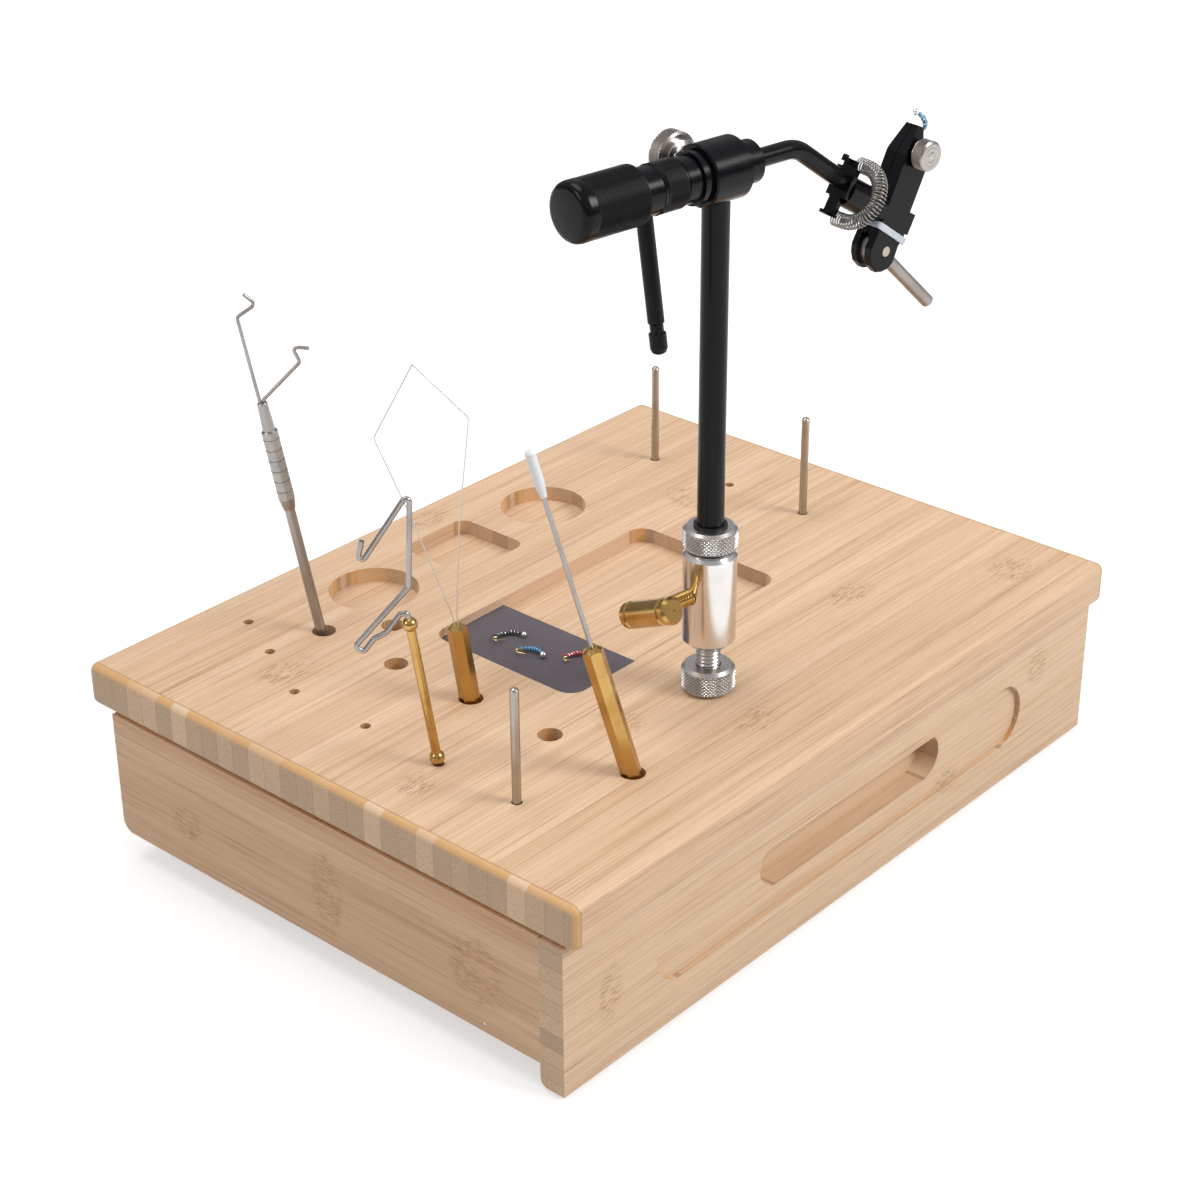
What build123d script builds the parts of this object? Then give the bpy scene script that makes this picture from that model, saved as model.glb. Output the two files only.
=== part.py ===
from build123d import *

import os
from math import atan2, cos, degrees, hypot, pi, radians, sin, tan

os.makedirs("parts", exist_ok=True)

# Fly tying cabinet. Millimetres, +Z up, origin on the floor under the middle of the board.
# +X runs along the length of the board, -Y is the drawer side.

# ---------------------------------------------------------------- case
BOARD_LENGTH = 312.0
BOARD_DEPTH = 240.0
BOARD_THICKNESS = 17.0
BOARD_TOP = 78.0
BOARD_ROUND = 3.3
BOARD_UNDER = BOARD_TOP - BOARD_THICKNESS
HALF_LENGTH = BOARD_LENGTH / 2
PANEL = 10.5
CASE_BOTTOM = 10.8
CASE_FRONT_Y = -103.9
CASE_BACK_Y = 107.8
CASE_CORNER = 5.0
BOTTOM_THICKNESS = 6.0
FLOOR_TOP = CASE_BOTTOM + BOTTOM_THICKNESS
BRAD_RADIUS = 0.8
BRAD_LENGTH = 22.0
BRAD_PLACES = (-78.6, 94.0)
DOWEL_RADIUS = 3.0
DOWEL_DEPTH = 8.0
DOWEL_PLACES = (-75.0, 0.0, 75.0)

# feet under the bottom panel
FOOT_RADIUS = 8.0
FOOT_BASE_RADIUS = 7.0
FOOT_X = 126.0
FOOT_Y = 78.0
FOOT_SCREW_RADIUS = 1.5
FOOT_SCREW_HEAD = 3.2
FOOT_POCKET = 4.5
FOOT_SCREW_TOP = CASE_BOTTOM + 5.0
BRAD_Z = 13.9

# ---------------------------------------------------------------- drawer
DRAWER_GAP = 1.0
DRAWER_LIFT = 0.3
DRAWER_WALL = 8.0
DRAWER_FRONT_BOTTOM = 1.8
DRAWER_FRONT_TOP = BOARD_UNDER - 0.4
DRAWER_FRONT_ROUND = 3.0
DRAWER_BACK_Y = 92.0
DRAWER_TOP = 57.0
DRAWER_FLOOR = 4.0
DRAWER_FLOOR_LIFT = 2.0
FRONT_FACE_Y = CASE_FRONT_Y - PANEL
RECESS_LENGTH = 219.0
RECESS_HEIGHT = 26.8
RECESS_DEPTH = 2.0
RECESS_Z = BOARD_TOP - 46.6
POCKET_LENGTH = 108.0
POCKET_HEIGHT = 18.6
POCKET_X = 2.5
POCKET_Z = RECESS_Z + (RECESS_HEIGHT - POCKET_HEIGHT) / 2
FRONT_SCREW_X = (-100.0, 100.0)
FRONT_SCREW_Z = (28.5, 50.0)
FRONT_SCREW_LENGTH = 14.0
FRONT_SCREW_RADIUS = 1.7
DRAWER_HALF = HALF_LENGTH - PANEL - DRAWER_GAP
DRAWER_BOTTOM_Z = FLOOR_TOP + DRAWER_LIFT

# ---------------------------------------------------------------- routed trays and holes in the board
TRAY_DEPTH = 6.0
CUP_RADIUS = 17.5
CUP_PLACES = ((-46.8, 81.7), (49.6, 81.6))
SMALL_TRAY = (1.9, 81.0, 35.0, 35.0, 5.0)
LARGE_TRAY = (1.8, 4.2, 120.0, 70.6, 7.0)
MAT_THICKNESS = 2.5
MAT_RIGHT_X = -19.0
MAT_TOP = BOARD_TOP - TRAY_DEPTH + MAT_THICKNESS
TOOL_HOLE_RADIUS = 4.5
TOOL_HOLE_DEPTH = 10.0
TOOL_ROW_X = -82.3
TOOL_ROW_Y = (71.9, 33.7, -4.3, -42.4, -80.4)
SIDE_TOOL_HOLE = (-62.4, 55.5)
PEG_HOLE_RADIUS = 1.95
PEG_HOLE_DEPTH = 10.0
EMPTY_PEG_HOLES = ((-96.3, 98.4), (-106.3, 75.4), (-120.3, 46.9), (-120.3, 10.4), (114.6, 35.9))
PEG_RADIUS = 1.59
PEG_FOOT = 0.4
PEGS = ((-121.4, -63.1, 44.0), (113.7, 75.7, 42.6), (113.4, -3.3, 42.6))

# ---------------------------------------------------------------- flies
FLY_WIRE = 0.26
FLY_BODY = 0.85
FLY_BEAD = 1.15
FLY_GAPE = 2.6
HOOK_DEEP = 0.3
# tail, eye, height of the shank's arch and bead radius of each loose fly
LOOSE_FLIES = {
    "fly_black": ((-40.9, 22.7), (-32.6, 16.1), 2.6, 1.15),
    "fly_blue": ((-41.9, 9.3), (-39.5, 0.2), 2.4, 1.3),
    "fly_red": ((-35.0, -7.2), (-27.6, -13.4), 2.2, 1.15),
}
FLY_LOW, FLY_HIGH = (94.6, -9.8), (93.2, 0.2)

# ---------------------------------------------------------------- vise
POST_X = -20.95
POST_Y = -63.1
HEAD_TURN = -8.387
AXIS_HEIGHT = 193.0
POST_RADIUS = 4.77
STUD_RADIUS = 4.5
INSERT_RADIUS = 6.2
INSERT_FOOT = BOARD_TOP - 14.0
NECK_RADIUS = 7.6
NECK_TOP = 62.0
LOCK_RADIUS = 2.5
NUT_RADIUS = 9.8
NUT_HEIGHT = 10.0
NUT_BEVEL = 1.2
NUT_LIFT = 0.15
SLEEVE_BOTTOM = 19.0
SLEEVE_TOP = 56.4
SLEEVE_RADIUS = 9.6
COLLAR_TOP = 65.0
BUSH_RADIUS = 6.0
POST_FOOT = 26.0
CLAMP_Z = 40.0
CLAMP_RADIUS = 3.0
BARREL_OUT = 27.4
BARREL_RADIUS = 4.9
BARREL_LENGTH = 26.0
BARREL_TILT = 26.0
RUNNING = 0.05

# ---------------------------------------------------------------- head, from the rotary axis over the post
SHAFT_RADIUS = 5.0
SHAFT_FROM = -46.0
SHAFT_TO = 12.0
FLANGE_FROM = -17.9
FLANGE_RADIUS = 7.9
LIP_FROM = -12.4
LIP_RADIUS = 9.0
COLLAR_RADIUS = 7.4
COLLAR_TO = 15.5
RING_FROM = -27.7
RING_TO = -18.2
RING_RADIUS = 8.54
CRANK_NECK = 8.1
CRANK_NECK_TO = -28.0
HOUSING_RADIUS = 10.55
HOUSING_FROM = -10.0
HOUSING_TO = 7.6
HOUSING_STEP = 8.6
LOCK_HUB = 4.6
LOCK_FLANGE = 6.0
LOCK_RIM = 8.4
LOCK_RIM_FROM = 18.6
LOCK_RIM_TO = 24.8
KNOB_FROM = -62.9
KNOB_TO = -35.8
KNOB_RADIUS = 10.2
CRANK_T = -32.2
CRANK_ROD = 2.8
CRANK_LENGTH = 53.0
CRANK_TILT = 9.9
ARM_RADIUS = 3.25
ARM_FROM = 12.0
ARM_FALL = 36.0
ARM_CORNER_T = 35.4
ARM_BEND = 14.0
BAR_CENTRE = (56.6, -18.4)
BAR_TURN = 58.5
BAR_THICK = 2.0
BAR_HALF = 10.2
BAR_HALF_WIDE = 2.4
BAR_BOSS = 4.6
LUG_BACK = 3.4
SPRING_WIRE = 0.25
SPRING_COIL = 2.5
SPRING_BEND = 9.8
SPRING_STRAIGHT = 4.2
SPRING_TURNS = 29
PLATE = 4.8
JAW_EDGE = 0.35
PIN_AT = (76.4, -45.1)
PIN_RADIUS = 1.8
SLOT_HALF = 1.9
SLOT_RADIUS = 8.6
LEVER_RADIUS = 2.4
LEVER_LENGTH = 39.6
LEVER_NECK = 1.5
LEVER_FALL = 44.0
CAM_RADIUS = 6.2
HUB_RADIUS = 5.6
HUB_LENGTH = 22.0
NOSE_FROM = (86.6, -13.5)
NOSE_TURN = 22.7
NOSE_SLOPE = 10.0
BAND_CENTRE = (78.6, -38.9)
BAND_FALL = 35.5
BAND_HALF = 7.5
BAND_WIDTH = 2.3
BAND_THICK = 0.8
BAND_SLACK = 0.6
KEEPER_OUTLINE = ((87.0, -33.0), (91.2, -35.4), (87.6, -42.0), (85.0, -40.8))
JAW_SCREW_AT = (90.5, -12.6)
SCREW_RADIUS = 1.5
SCREW_DEEP = 3.0
SCREW_HEAD = 5.5
SCREW_HEAD_FROM = 5.5
SCREW_HEAD_TO = 10.7
JAW_OUTLINE = (
    (94.2, -4.9), (93.7, -9.0), (94.4, -20.5), (88.1, -33.1), (85.2, -42.2), (82.7, -44.7), (80.2, -50.3),
    (77.9, -51.9), (75.0, -52.3), (72.0, -51.8), (69.3, -48.8), (68.5, -45.5), (68.8, -42.5), (71.0, -38.6),
    (74.1, -32.9), (79.3, -22.2), (84.1, -12.0), (91.6, -3.6),
)

# ---------------------------------------------------------------- hand tools
# place of the tool's foot on the board, heading of the side it is seen from, lean away from upright
WHIP = ((-83.12, 72.63), -41.4, 9.45)
FINISHER = ((-121.3, -26.5), -44.3, 7.9)
THREADER = ((-82.6, -4.0), -45.1, 7.3)
NEEDLE = ((-82.66, -79.98), -49.3, 15.1)
HEX_FLATS = 6.5
HEX_CORNER = HEX_FLATS / 2 / cos(radians(30))
WHIP_ROD_RADIUS = 1.95
WHIP_WIRE_RADIUS = 0.65
GRIP_RADIUS = 3.0
GRIP_GROOVE = 2.75
GRIP_GROOVES = 6
GRIP_PITCH = 4.2
BALL_RADIUS = 2.68
LOW_BALL = 2.8
HIGH_BALL = 55.3
TUBE_RADIUS = 1.6
FINISHER_WIRE_RADIUS = 0.95
THREADER_WIRE_RADIUS = 0.22
NEEDLE_RADIUS = 0.8
CAP_RADIUS = 1.8
CAP_FROM = 107.6
CAP_TO = 124.7


def save(node, shape):
    """Write one node."""
    export_step(shape, f"parts/{node}.step")


def block(x0, x1, y0, y1, z0, z1):
    """Box between two corners."""
    return Pos((x0 + x1) / 2, (y0 + y1) / 2, (z0 + z1) / 2) * Box(x1 - x0, y1 - y0, z1 - z0)


def lathe(profile):
    """Solid of revolution about Z from (height, radius) pairs."""
    points = [(0, 0, profile[0][0])]
    points += [(radius, 0, height) for height, radius in profile]
    points += [(0, 0, profile[-1][0])]
    face = make_face(Polyline(*points, close=True))
    return revolve(face, Axis.Z)


def bore(z0, z1, radius):
    """Cylinder about Z, for cutting."""
    return Pos(0, 0, (z0 + z1) / 2) * Cylinder(radius, z1 - z0)


def rod(start, end, radius):
    """Straight rod between two points."""
    start, end = Vector(start), Vector(end)
    return Solid.make_cylinder(radius, (end - start).length, Plane(origin=start, z_dir=end - start))


def bent_wire(points, radius, bend):
    """Round wire along straight runs with rounded corners."""
    path = FilletPolyline(*points, radius=bend)
    start = Plane(origin=path @ 0, z_dir=path % 0)
    return sweep(start * Circle(radius), path=path)


def stadium(length, height):
    """Flat slot shape with full round ends."""
    return SlotOverall(length, height)


def leaning(place, heading, lean):
    """Frame of a tool that stands in a hole: Z runs along the tool, X to the side in which it leans."""
    return Pos(place[0], place[1], BOARD_TOP) * Rot(0, 0, heading) * Rot(0, -lean, 0)


def fly(tail, eye, arch, bead):
    """Hook that lies on the mat: curved body between tail and eye, bend and point behind the tail."""
    run = hypot(eye[0] - tail[0], eye[1] - tail[1])
    heading = degrees(atan2(eye[1] - tail[1], eye[0] - tail[0]))
    shank = ThreePointArc((0, 0), (run / 2, arch), (run, 0))
    start = Plane(origin=shank @ 0, z_dir=shank % 0)
    wire = sweep(start * Circle(FLY_WIRE), path=shank)
    bend = ThreePointArc((0, 0), (-FLY_GAPE / 2, -FLY_GAPE / 2), (0.4, -FLY_GAPE))
    point = Line((0.4, -FLY_GAPE), (3.4, -FLY_GAPE + 0.5))
    wire += sweep(Plane(origin=bend @ 0, z_dir=bend % 0) * Circle(FLY_WIRE), path=bend)
    wire += sweep(Plane(origin=point @ 0, z_dir=point % 0) * Circle(FLY_WIRE), path=point)
    wire += Pos(*(bend @ 1)) * Sphere(FLY_WIRE)
    body_path = shank.trim(0.12, 0.9)
    body = sweep(Plane(origin=body_path @ 0, z_dir=body_path % 0) * Circle(FLY_BODY), path=body_path)
    whole = wire + body + Pos(run, 0, 0) * Sphere(bead)
    return Pos(tail[0], tail[1], MAT_TOP + bead + 0.05) * Rot(0, 0, heading) * whole


# ---------------------------------------------------------------- board
def dowel_places():
    """Middle of each dowel between the board and the side panels."""
    middle = HALF_LENGTH - PANEL / 2
    return [(x, y) for x in (-middle, middle) for y in DOWEL_PLACES]


def foot_places():
    """Middle of each foot."""
    return [(x, y) for x in (-FOOT_X, FOOT_X) for y in (-FOOT_Y, FOOT_Y)]


def top_board():
    board = block(-HALF_LENGTH, HALF_LENGTH, -BOARD_DEPTH / 2, BOARD_DEPTH / 2, BOARD_UNDER, BOARD_TOP)
    board = fillet(board.edges(), BOARD_ROUND)
    floor = BOARD_TOP - TRAY_DEPTH
    for x, y in CUP_PLACES:
        board -= Pos(x, y, 0) * bore(floor, BOARD_TOP + 1, CUP_RADIUS)
    for x, y, length, depth, corner in (SMALL_TRAY, LARGE_TRAY):
        board -= Pos(x, y, floor) * extrude(RectangleRounded(length, depth, corner), TRAY_DEPTH + 1)
    tool_holes = [(TOOL_ROW_X, y) for y in TOOL_ROW_Y] + [SIDE_TOOL_HOLE]
    for x, y in tool_holes:
        board -= Pos(x, y, 0) * bore(BOARD_TOP - TOOL_HOLE_DEPTH, BOARD_TOP + 1, TOOL_HOLE_RADIUS)
    peg_holes = list(EMPTY_PEG_HOLES) + [(x, y) for x, y, height in PEGS] + [FINISHER[0]]
    for x, y in peg_holes:
        board -= Pos(x, y, 0) * bore(BOARD_TOP - PEG_HOLE_DEPTH, BOARD_TOP + 1, PEG_HOLE_RADIUS)
    board -= Pos(POST_X, POST_Y, 0) * bore(INSERT_FOOT, BOARD_TOP + 1, INSERT_RADIUS)
    hole = bore(BOARD_UNDER - 1, BOARD_UNDER + DOWEL_DEPTH, DOWEL_RADIUS)
    for x, y in dowel_places():
        board -= Pos(x, y, 0) * hole
    return board


def side_panel(side):
    panel = block(HALF_LENGTH - PANEL, HALF_LENGTH, CASE_FRONT_Y, CASE_BACK_Y, CASE_BOTTOM, BOARD_UNDER)
    corner = panel.edges().filter_by(Axis.X).sort_by(Axis.Z)[:2].sort_by(Axis.Y)[-1]
    panel = fillet(corner, CASE_CORNER)
    hole = bore(BOARD_UNDER - DOWEL_DEPTH, BOARD_UNDER + 1, DOWEL_RADIUS)
    for x, y in dowel_places():
        panel -= Pos(x, y, 0) * hole
    for y in BRAD_PLACES:
        panel -= Pos(HALF_LENGTH, y, BRAD_Z) * Rot(0, -90, 0) * bore(-1, BRAD_LENGTH, BRAD_RADIUS)
    return panel if side > 0 else mirror(panel, Plane.YZ)


def dowels():
    one = bore(BOARD_UNDER - DOWEL_DEPTH, BOARD_UNDER + DOWEL_DEPTH, DOWEL_RADIUS)
    return Compound(children=[Pos(x, y, 0) * one for x, y in dowel_places()])


def brads():
    one = Rot(0, -90, 0) * bore(0.2, BRAD_LENGTH, BRAD_RADIUS)
    right = [Pos(HALF_LENGTH, y, BRAD_Z) * one for y in BRAD_PLACES]
    left = [mirror(solid, Plane.YZ) for solid in right]
    return Compound(children=right + left)


def bottom_panel():
    inside = HALF_LENGTH - PANEL
    panel = block(-inside, inside, CASE_FRONT_Y + 0.6, CASE_BACK_Y - PANEL, CASE_BOTTOM, FLOOR_TOP)
    panel -= brads()
    for x, y in foot_places():
        panel -= Pos(x, y, 0) * bore(CASE_BOTTOM - 1, FOOT_SCREW_TOP, FOOT_SCREW_RADIUS)
    return panel


def back_panel():
    inside = HALF_LENGTH - PANEL
    return block(-inside, inside, CASE_BACK_Y - PANEL, CASE_BACK_Y, CASE_BOTTOM, BOARD_UNDER)


def feet():
    foot = lathe([(0, FOOT_BASE_RADIUS), (CASE_BOTTOM, FOOT_RADIUS)])
    foot -= bore(-1, FOOT_POCKET, FOOT_SCREW_HEAD + 0.3)
    foot -= bore(-1, CASE_BOTTOM + 1, FOOT_SCREW_RADIUS)
    return Compound(children=[Pos(x, y, 0) * foot for x, y in foot_places()])


def foot_screws():
    screw = bore(FOOT_POCKET - 2, FOOT_POCKET, FOOT_SCREW_HEAD)
    screw += bore(FOOT_POCKET, FOOT_SCREW_TOP, FOOT_SCREW_RADIUS)
    return Compound(children=[Pos(x, y, 0) * screw for x, y in foot_places()])


# ---------------------------------------------------------------- drawer
def front_screws():
    shank = bore(-FRONT_SCREW_LENGTH, 0, FRONT_SCREW_RADIUS)
    head = bore(0, 1.8, FRONT_SCREW_RADIUS * 2)
    one = Rot(-90, 0, 0) * (shank + head)
    y = CASE_FRONT_Y + DRAWER_WALL
    return Compound(children=[Pos(x, y, z) * one for x in FRONT_SCREW_X for z in FRONT_SCREW_Z])


def drawer_front():
    low, high = DRAWER_FRONT_BOTTOM, DRAWER_FRONT_TOP
    front = block(-HALF_LENGTH, HALF_LENGTH, FRONT_FACE_Y, CASE_FRONT_Y, low, high)
    low_edges = front.edges().filter_by(Axis.X).sort_by(Axis.Z)[:2].sort_by(Axis.Y)
    front = fillet(low_edges[-1], DRAWER_FRONT_ROUND)
    upright = Rot(90, 0, 0)
    recess = upright * extrude(stadium(RECESS_LENGTH, RECESS_HEIGHT), RECESS_DEPTH + 1)
    front -= Pos(0, FRONT_FACE_Y + RECESS_DEPTH, RECESS_Z) * recess
    pocket = upright * extrude(stadium(POCKET_LENGTH, POCKET_HEIGHT), PANEL + 2)
    front -= Pos(POCKET_X, CASE_FRONT_Y + 1, POCKET_Z) * pocket
    return front - front_screws()


def drawer_walls():
    x = DRAWER_HALF
    y = CASE_FRONT_Y
    wall = DRAWER_WALL
    back_y = DRAWER_BACK_Y
    low, high = DRAWER_BOTTOM_Z, DRAWER_TOP
    floor = low + DRAWER_FLOOR_LIFT
    inset = wall / 2
    groove = block(inset - x, x - inset, y + inset, back_y - inset, floor, floor + DRAWER_FLOOR)
    front = block(-x, x, y, y + wall, low, high) - groove - front_screws()
    back = block(-x, x, back_y - wall, back_y, low, high) - groove
    side = block(x - wall, x, y + wall, back_y - wall, low, high) - groove
    return {
        "drawer_box_front": front,
        "drawer_box_back": back,
        "drawer_box_right": side,
        "drawer_box_left": mirror(side, Plane.YZ),
        "drawer_box_floor": groove,
    }


# ---------------------------------------------------------------- on the board
def mat():
    x, y, length, depth, corner = LARGE_TRAY
    low = BOARD_TOP - TRAY_DEPTH
    sheet = Pos(x, y, low) * extrude(RectangleRounded(length, depth, corner), MAT_THICKNESS)
    return sheet - block(MAT_RIGHT_X, x + length, y - depth, y + depth, low - 1, low + MAT_THICKNESS + 1)


def spool_peg(x, y, height):
    foot = BOARD_TOP - PEG_HOLE_DEPTH + PEG_FOOT
    top = BOARD_TOP + height
    shape = lathe([(foot, PEG_RADIUS), (top - 1.0, PEG_RADIUS), (top - 0.3, PEG_RADIUS - 0.4), (top, 0.6)])
    return Pos(x, y, 0) * shape


# ---------------------------------------------------------------- vise, below the head
def vise_foot():
    insert = lathe([(INSERT_FOOT, INSERT_RADIUS), (BOARD_TOP, INSERT_RADIUS)])
    insert -= bore(INSERT_FOOT - 1, BOARD_TOP + 1, STUD_RADIUS)
    stud = lathe([(INSERT_FOOT, STUD_RADIUS), (BOARD_TOP + SLEEVE_BOTTOM + 4, STUD_RADIUS)])
    nut = lathe([
        (NUT_LIFT, NUT_RADIUS - 1.0), (NUT_BEVEL, NUT_RADIUS), (NUT_HEIGHT - NUT_BEVEL, NUT_RADIUS),
        (NUT_HEIGHT, NUT_RADIUS - NUT_BEVEL),
    ])
    nut = Pos(0, 0, BOARD_TOP) * (nut - bore(-1, NUT_HEIGHT + 1, STUD_RADIUS + RUNNING))
    place = Pos(POST_X, POST_Y, 0)
    return {"board_insert": place * insert, "base_stud": place * stud, "base_nut": place * nut}


def vise_column():
    sleeve = lathe([
        (SLEEVE_BOTTOM, SLEEVE_RADIUS - 2.1), (SLEEVE_BOTTOM + 2, SLEEVE_RADIUS),
        (SLEEVE_TOP - 2.4, SLEEVE_RADIUS), (SLEEVE_TOP - 1.2, SLEEVE_RADIUS - 1.3),
        (SLEEVE_TOP, SLEEVE_RADIUS - 0.4), (SLEEVE_TOP, NECK_RADIUS), (NECK_TOP, NECK_RADIUS),
    ])
    sleeve -= bore(SLEEVE_BOTTOM - 1, SLEEVE_BOTTOM + 4, STUD_RADIUS)
    sleeve -= bore(POST_FOOT - 0.6, COLLAR_TOP, BUSH_RADIUS + RUNNING)
    across = Pos(0, 0, CLAMP_Z) * Rot(0, -90, 0)
    sleeve -= across * bore(0, SLEEVE_RADIUS + 2, CLAMP_RADIUS + RUNNING)
    bush = bore(POST_FOOT - 0.4, COLLAR_TOP + 0.8, BUSH_RADIUS) - bore(0, 90, POST_RADIUS + RUNNING)
    collar = lathe([
        (SLEEVE_TOP + 0.1, NUT_RADIUS - 0.8), (SLEEVE_TOP + 0.9, NUT_RADIUS),
        (COLLAR_TOP - NUT_BEVEL, NUT_RADIUS), (COLLAR_TOP, NUT_RADIUS - NUT_BEVEL),
    ])
    collar -= bore(0, NECK_TOP + 0.4, NECK_RADIUS + RUNNING)
    collar -= bore(SLEEVE_TOP, COLLAR_TOP + 1, BUSH_RADIUS + RUNNING)
    screw = across * lathe([
        (BUSH_RADIUS + 0.1, CLAMP_RADIUS - 0.5), (BUSH_RADIUS + 0.6, CLAMP_RADIUS), (BARREL_OUT, CLAMP_RADIUS),
    ])
    half = BARREL_LENGTH / 2
    deep = BARREL_RADIUS - 0.7
    barrel = lathe([
        (-half, BARREL_RADIUS - 1), (-half + 1, BARREL_RADIUS), (-half + 3, BARREL_RADIUS),
        (-half + 3.4, deep), (-half + 4.2, deep), (-half + 4.6, BARREL_RADIUS),
        (half - 4.6, BARREL_RADIUS), (half - 4.2, deep), (half - 3.4, deep),
        (half - 3, BARREL_RADIUS), (half - 1, BARREL_RADIUS), (half, BARREL_RADIUS - 1),
    ])
    barrel -= bore(half - 0.4, half + 1, 0.5)
    barrel = Pos(-BARREL_OUT, 0, CLAMP_Z) * Rot(90 - BARREL_TILT, 0, 0) * barrel
    place = Pos(POST_X, POST_Y, BOARD_TOP) * Rot(0, 0, HEAD_TURN)
    solids = {
        "vise_sleeve": sleeve, "post_bush": bush, "collar_nut": collar,
        "clamp_screw": screw - barrel, "clamp_barrel": barrel,
    }
    return {name: place * solid for name, solid in solids.items()}


# ---------------------------------------------------------------- head: X along its axis, Z up, viewer at -Y
HEAD = Pos(POST_X, POST_Y, BOARD_TOP + AXIS_HEIGHT) * Rot(0, 0, HEAD_TURN)
ALONG = Rot(0, 90, 0)


def turned(profile):
    """Solid of revolution about the rotary axis from (place, radius) pairs."""
    return ALONG * lathe(profile)


def shaft_cut(radius):
    """Cylinder on the rotary axis, for cutting."""
    return ALONG * bore(-70, 40, radius)


def post_parts():
    post = bore(POST_FOOT - AXIS_HEIGHT, -6.0, POST_RADIUS)
    housing = turned([
        (HOUSING_FROM, HOUSING_STEP), (HOUSING_FROM + 1.2, HOUSING_STEP),
        (HOUSING_FROM + 1.2, HOUSING_RADIUS - 0.6), (HOUSING_FROM + 1.8, HOUSING_RADIUS),
        (HOUSING_TO - 0.8, HOUSING_RADIUS), (HOUSING_TO, HOUSING_RADIUS - 0.8),
    ])
    housing -= shaft_cut(SHAFT_RADIUS + RUNNING)
    housing -= post
    housing -= Rot(-90, 0, 0) * bore(0, 20, LOCK_RADIUS + RUNNING)
    lock = Rot(-90, 0, 0) * lathe([
        (SHAFT_RADIUS + 0.4, LOCK_RADIUS), (12.0, LOCK_RADIUS), (12.0, LOCK_HUB), (16.0, LOCK_HUB),
        (16.8, LOCK_FLANGE), (LOCK_RIM_FROM, LOCK_FLANGE), (LOCK_RIM_FROM, LOCK_RIM - 0.7),
        (LOCK_RIM_FROM + 0.8, LOCK_RIM), (LOCK_RIM_TO - 0.8, LOCK_RIM), (LOCK_RIM_TO, LOCK_RIM - 0.8),
    ])
    return {"post": HEAD * post, "housing": HEAD * housing, "lock_knob": HEAD * lock}


def rotor_parts():
    shaft = turned([(SHAFT_FROM, SHAFT_RADIUS), (SHAFT_TO, SHAFT_RADIUS)])
    whole = shaft + turned([
        (FLANGE_FROM, FLANGE_RADIUS), (LIP_FROM, FLANGE_RADIUS), (LIP_FROM, LIP_RADIUS),
        (HOUSING_FROM - 0.4, LIP_RADIUS),
    ])
    collar = turned([
        (HOUSING_TO + 0.3, COLLAR_RADIUS - 0.6), (8.6, COLLAR_RADIUS), (COLLAR_TO - 0.8, COLLAR_RADIUS),
        (COLLAR_TO, COLLAR_RADIUS - 0.8),
    ])
    collar -= shaft + rod((ARM_FROM - 1, 0, 0), (COLLAR_TO + 1, 0, 0), ARM_RADIUS)
    ring = turned([
        (RING_FROM, RING_RADIUS - 0.64), (RING_FROM + 0.6, RING_RADIUS), (RING_TO - 0.6, RING_RADIUS),
        (RING_TO, RING_RADIUS - 0.64),
    ])
    ring -= shaft_cut(SHAFT_RADIUS + RUNNING)
    neck = turned([
        (KNOB_TO, CRANK_NECK), (CRANK_NECK_TO - 1, CRANK_NECK), (CRANK_NECK_TO - 0.6, CRANK_NECK + 0.4),
        (CRANK_NECK_TO, CRANK_NECK + 0.2),
    ])
    neck -= shaft
    knob = turned([
        (KNOB_FROM, 7.4), (KNOB_FROM + 0.9, 9.3), (KNOB_FROM + 3.0, KNOB_RADIUS), (KNOB_TO - 1.2, KNOB_RADIUS),
        (KNOB_TO, KNOB_RADIUS - 1.2),
    ]) - shaft
    rod_top, groove, ball = CRANK_LENGTH - 10.6, CRANK_ROD - 0.5, CRANK_ROD + 0.15
    crank = lathe([
        (SHAFT_RADIUS, CRANK_ROD), (rod_top, CRANK_ROD), (rod_top + 0.6, groove), (rod_top + 3.0, groove),
        (rod_top + 3.6, ball), (CRANK_LENGTH - 2, ball), (CRANK_LENGTH - 0.6, groove), (CRANK_LENGTH, 1.2),
    ])
    crank = Pos(CRANK_T, 0, 0) * Rot(180 - CRANK_TILT, 0, 0) * crank
    neck -= crank
    solids = {
        "rotor_shaft": whole, "rotor_collar": collar, "tension_ring": ring,
        "crank_neck": neck, "crank_knob": knob, "crank_rod": crank - shaft,
    }
    return {name: HEAD * solid for name, solid in solids.items()}


def outline_solid(grow, y0, y1):
    """Prism of the jaw outline between two depths."""
    face = make_face(Polyline(*JAW_OUTLINE, close=True))
    if grow:
        face = offset(face, amount=grow)
    return Pos(0, y1, 0) * Rot(90, 0, 0) * extrude(face, y1 - y0)


def jaw_plate(y0, y1):
    """One jaw's plate with broken edges on both faces."""
    plate = outline_solid(0, y0, y1)
    faces = plate.faces().sort_by(Axis.Y)
    return chamfer(faces[0].edges() + faces[-1].edges(), JAW_EDGE)


def pin_axis(radius, y0, y1):
    """Cylinder along the cam pin."""
    return Pos(PIN_AT[0], 0, PIN_AT[1]) * Rot(-90, 0, 0) * bore(y0, y1, radius)


def jaw_screw_axis(radius, y0, y1):
    """Cylinder along the jaw screw."""
    return Pos(JAW_SCREW_AT[0], 0, JAW_SCREW_AT[1]) * Rot(-90, 0, 0) * bore(y0, y1, radius)


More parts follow.
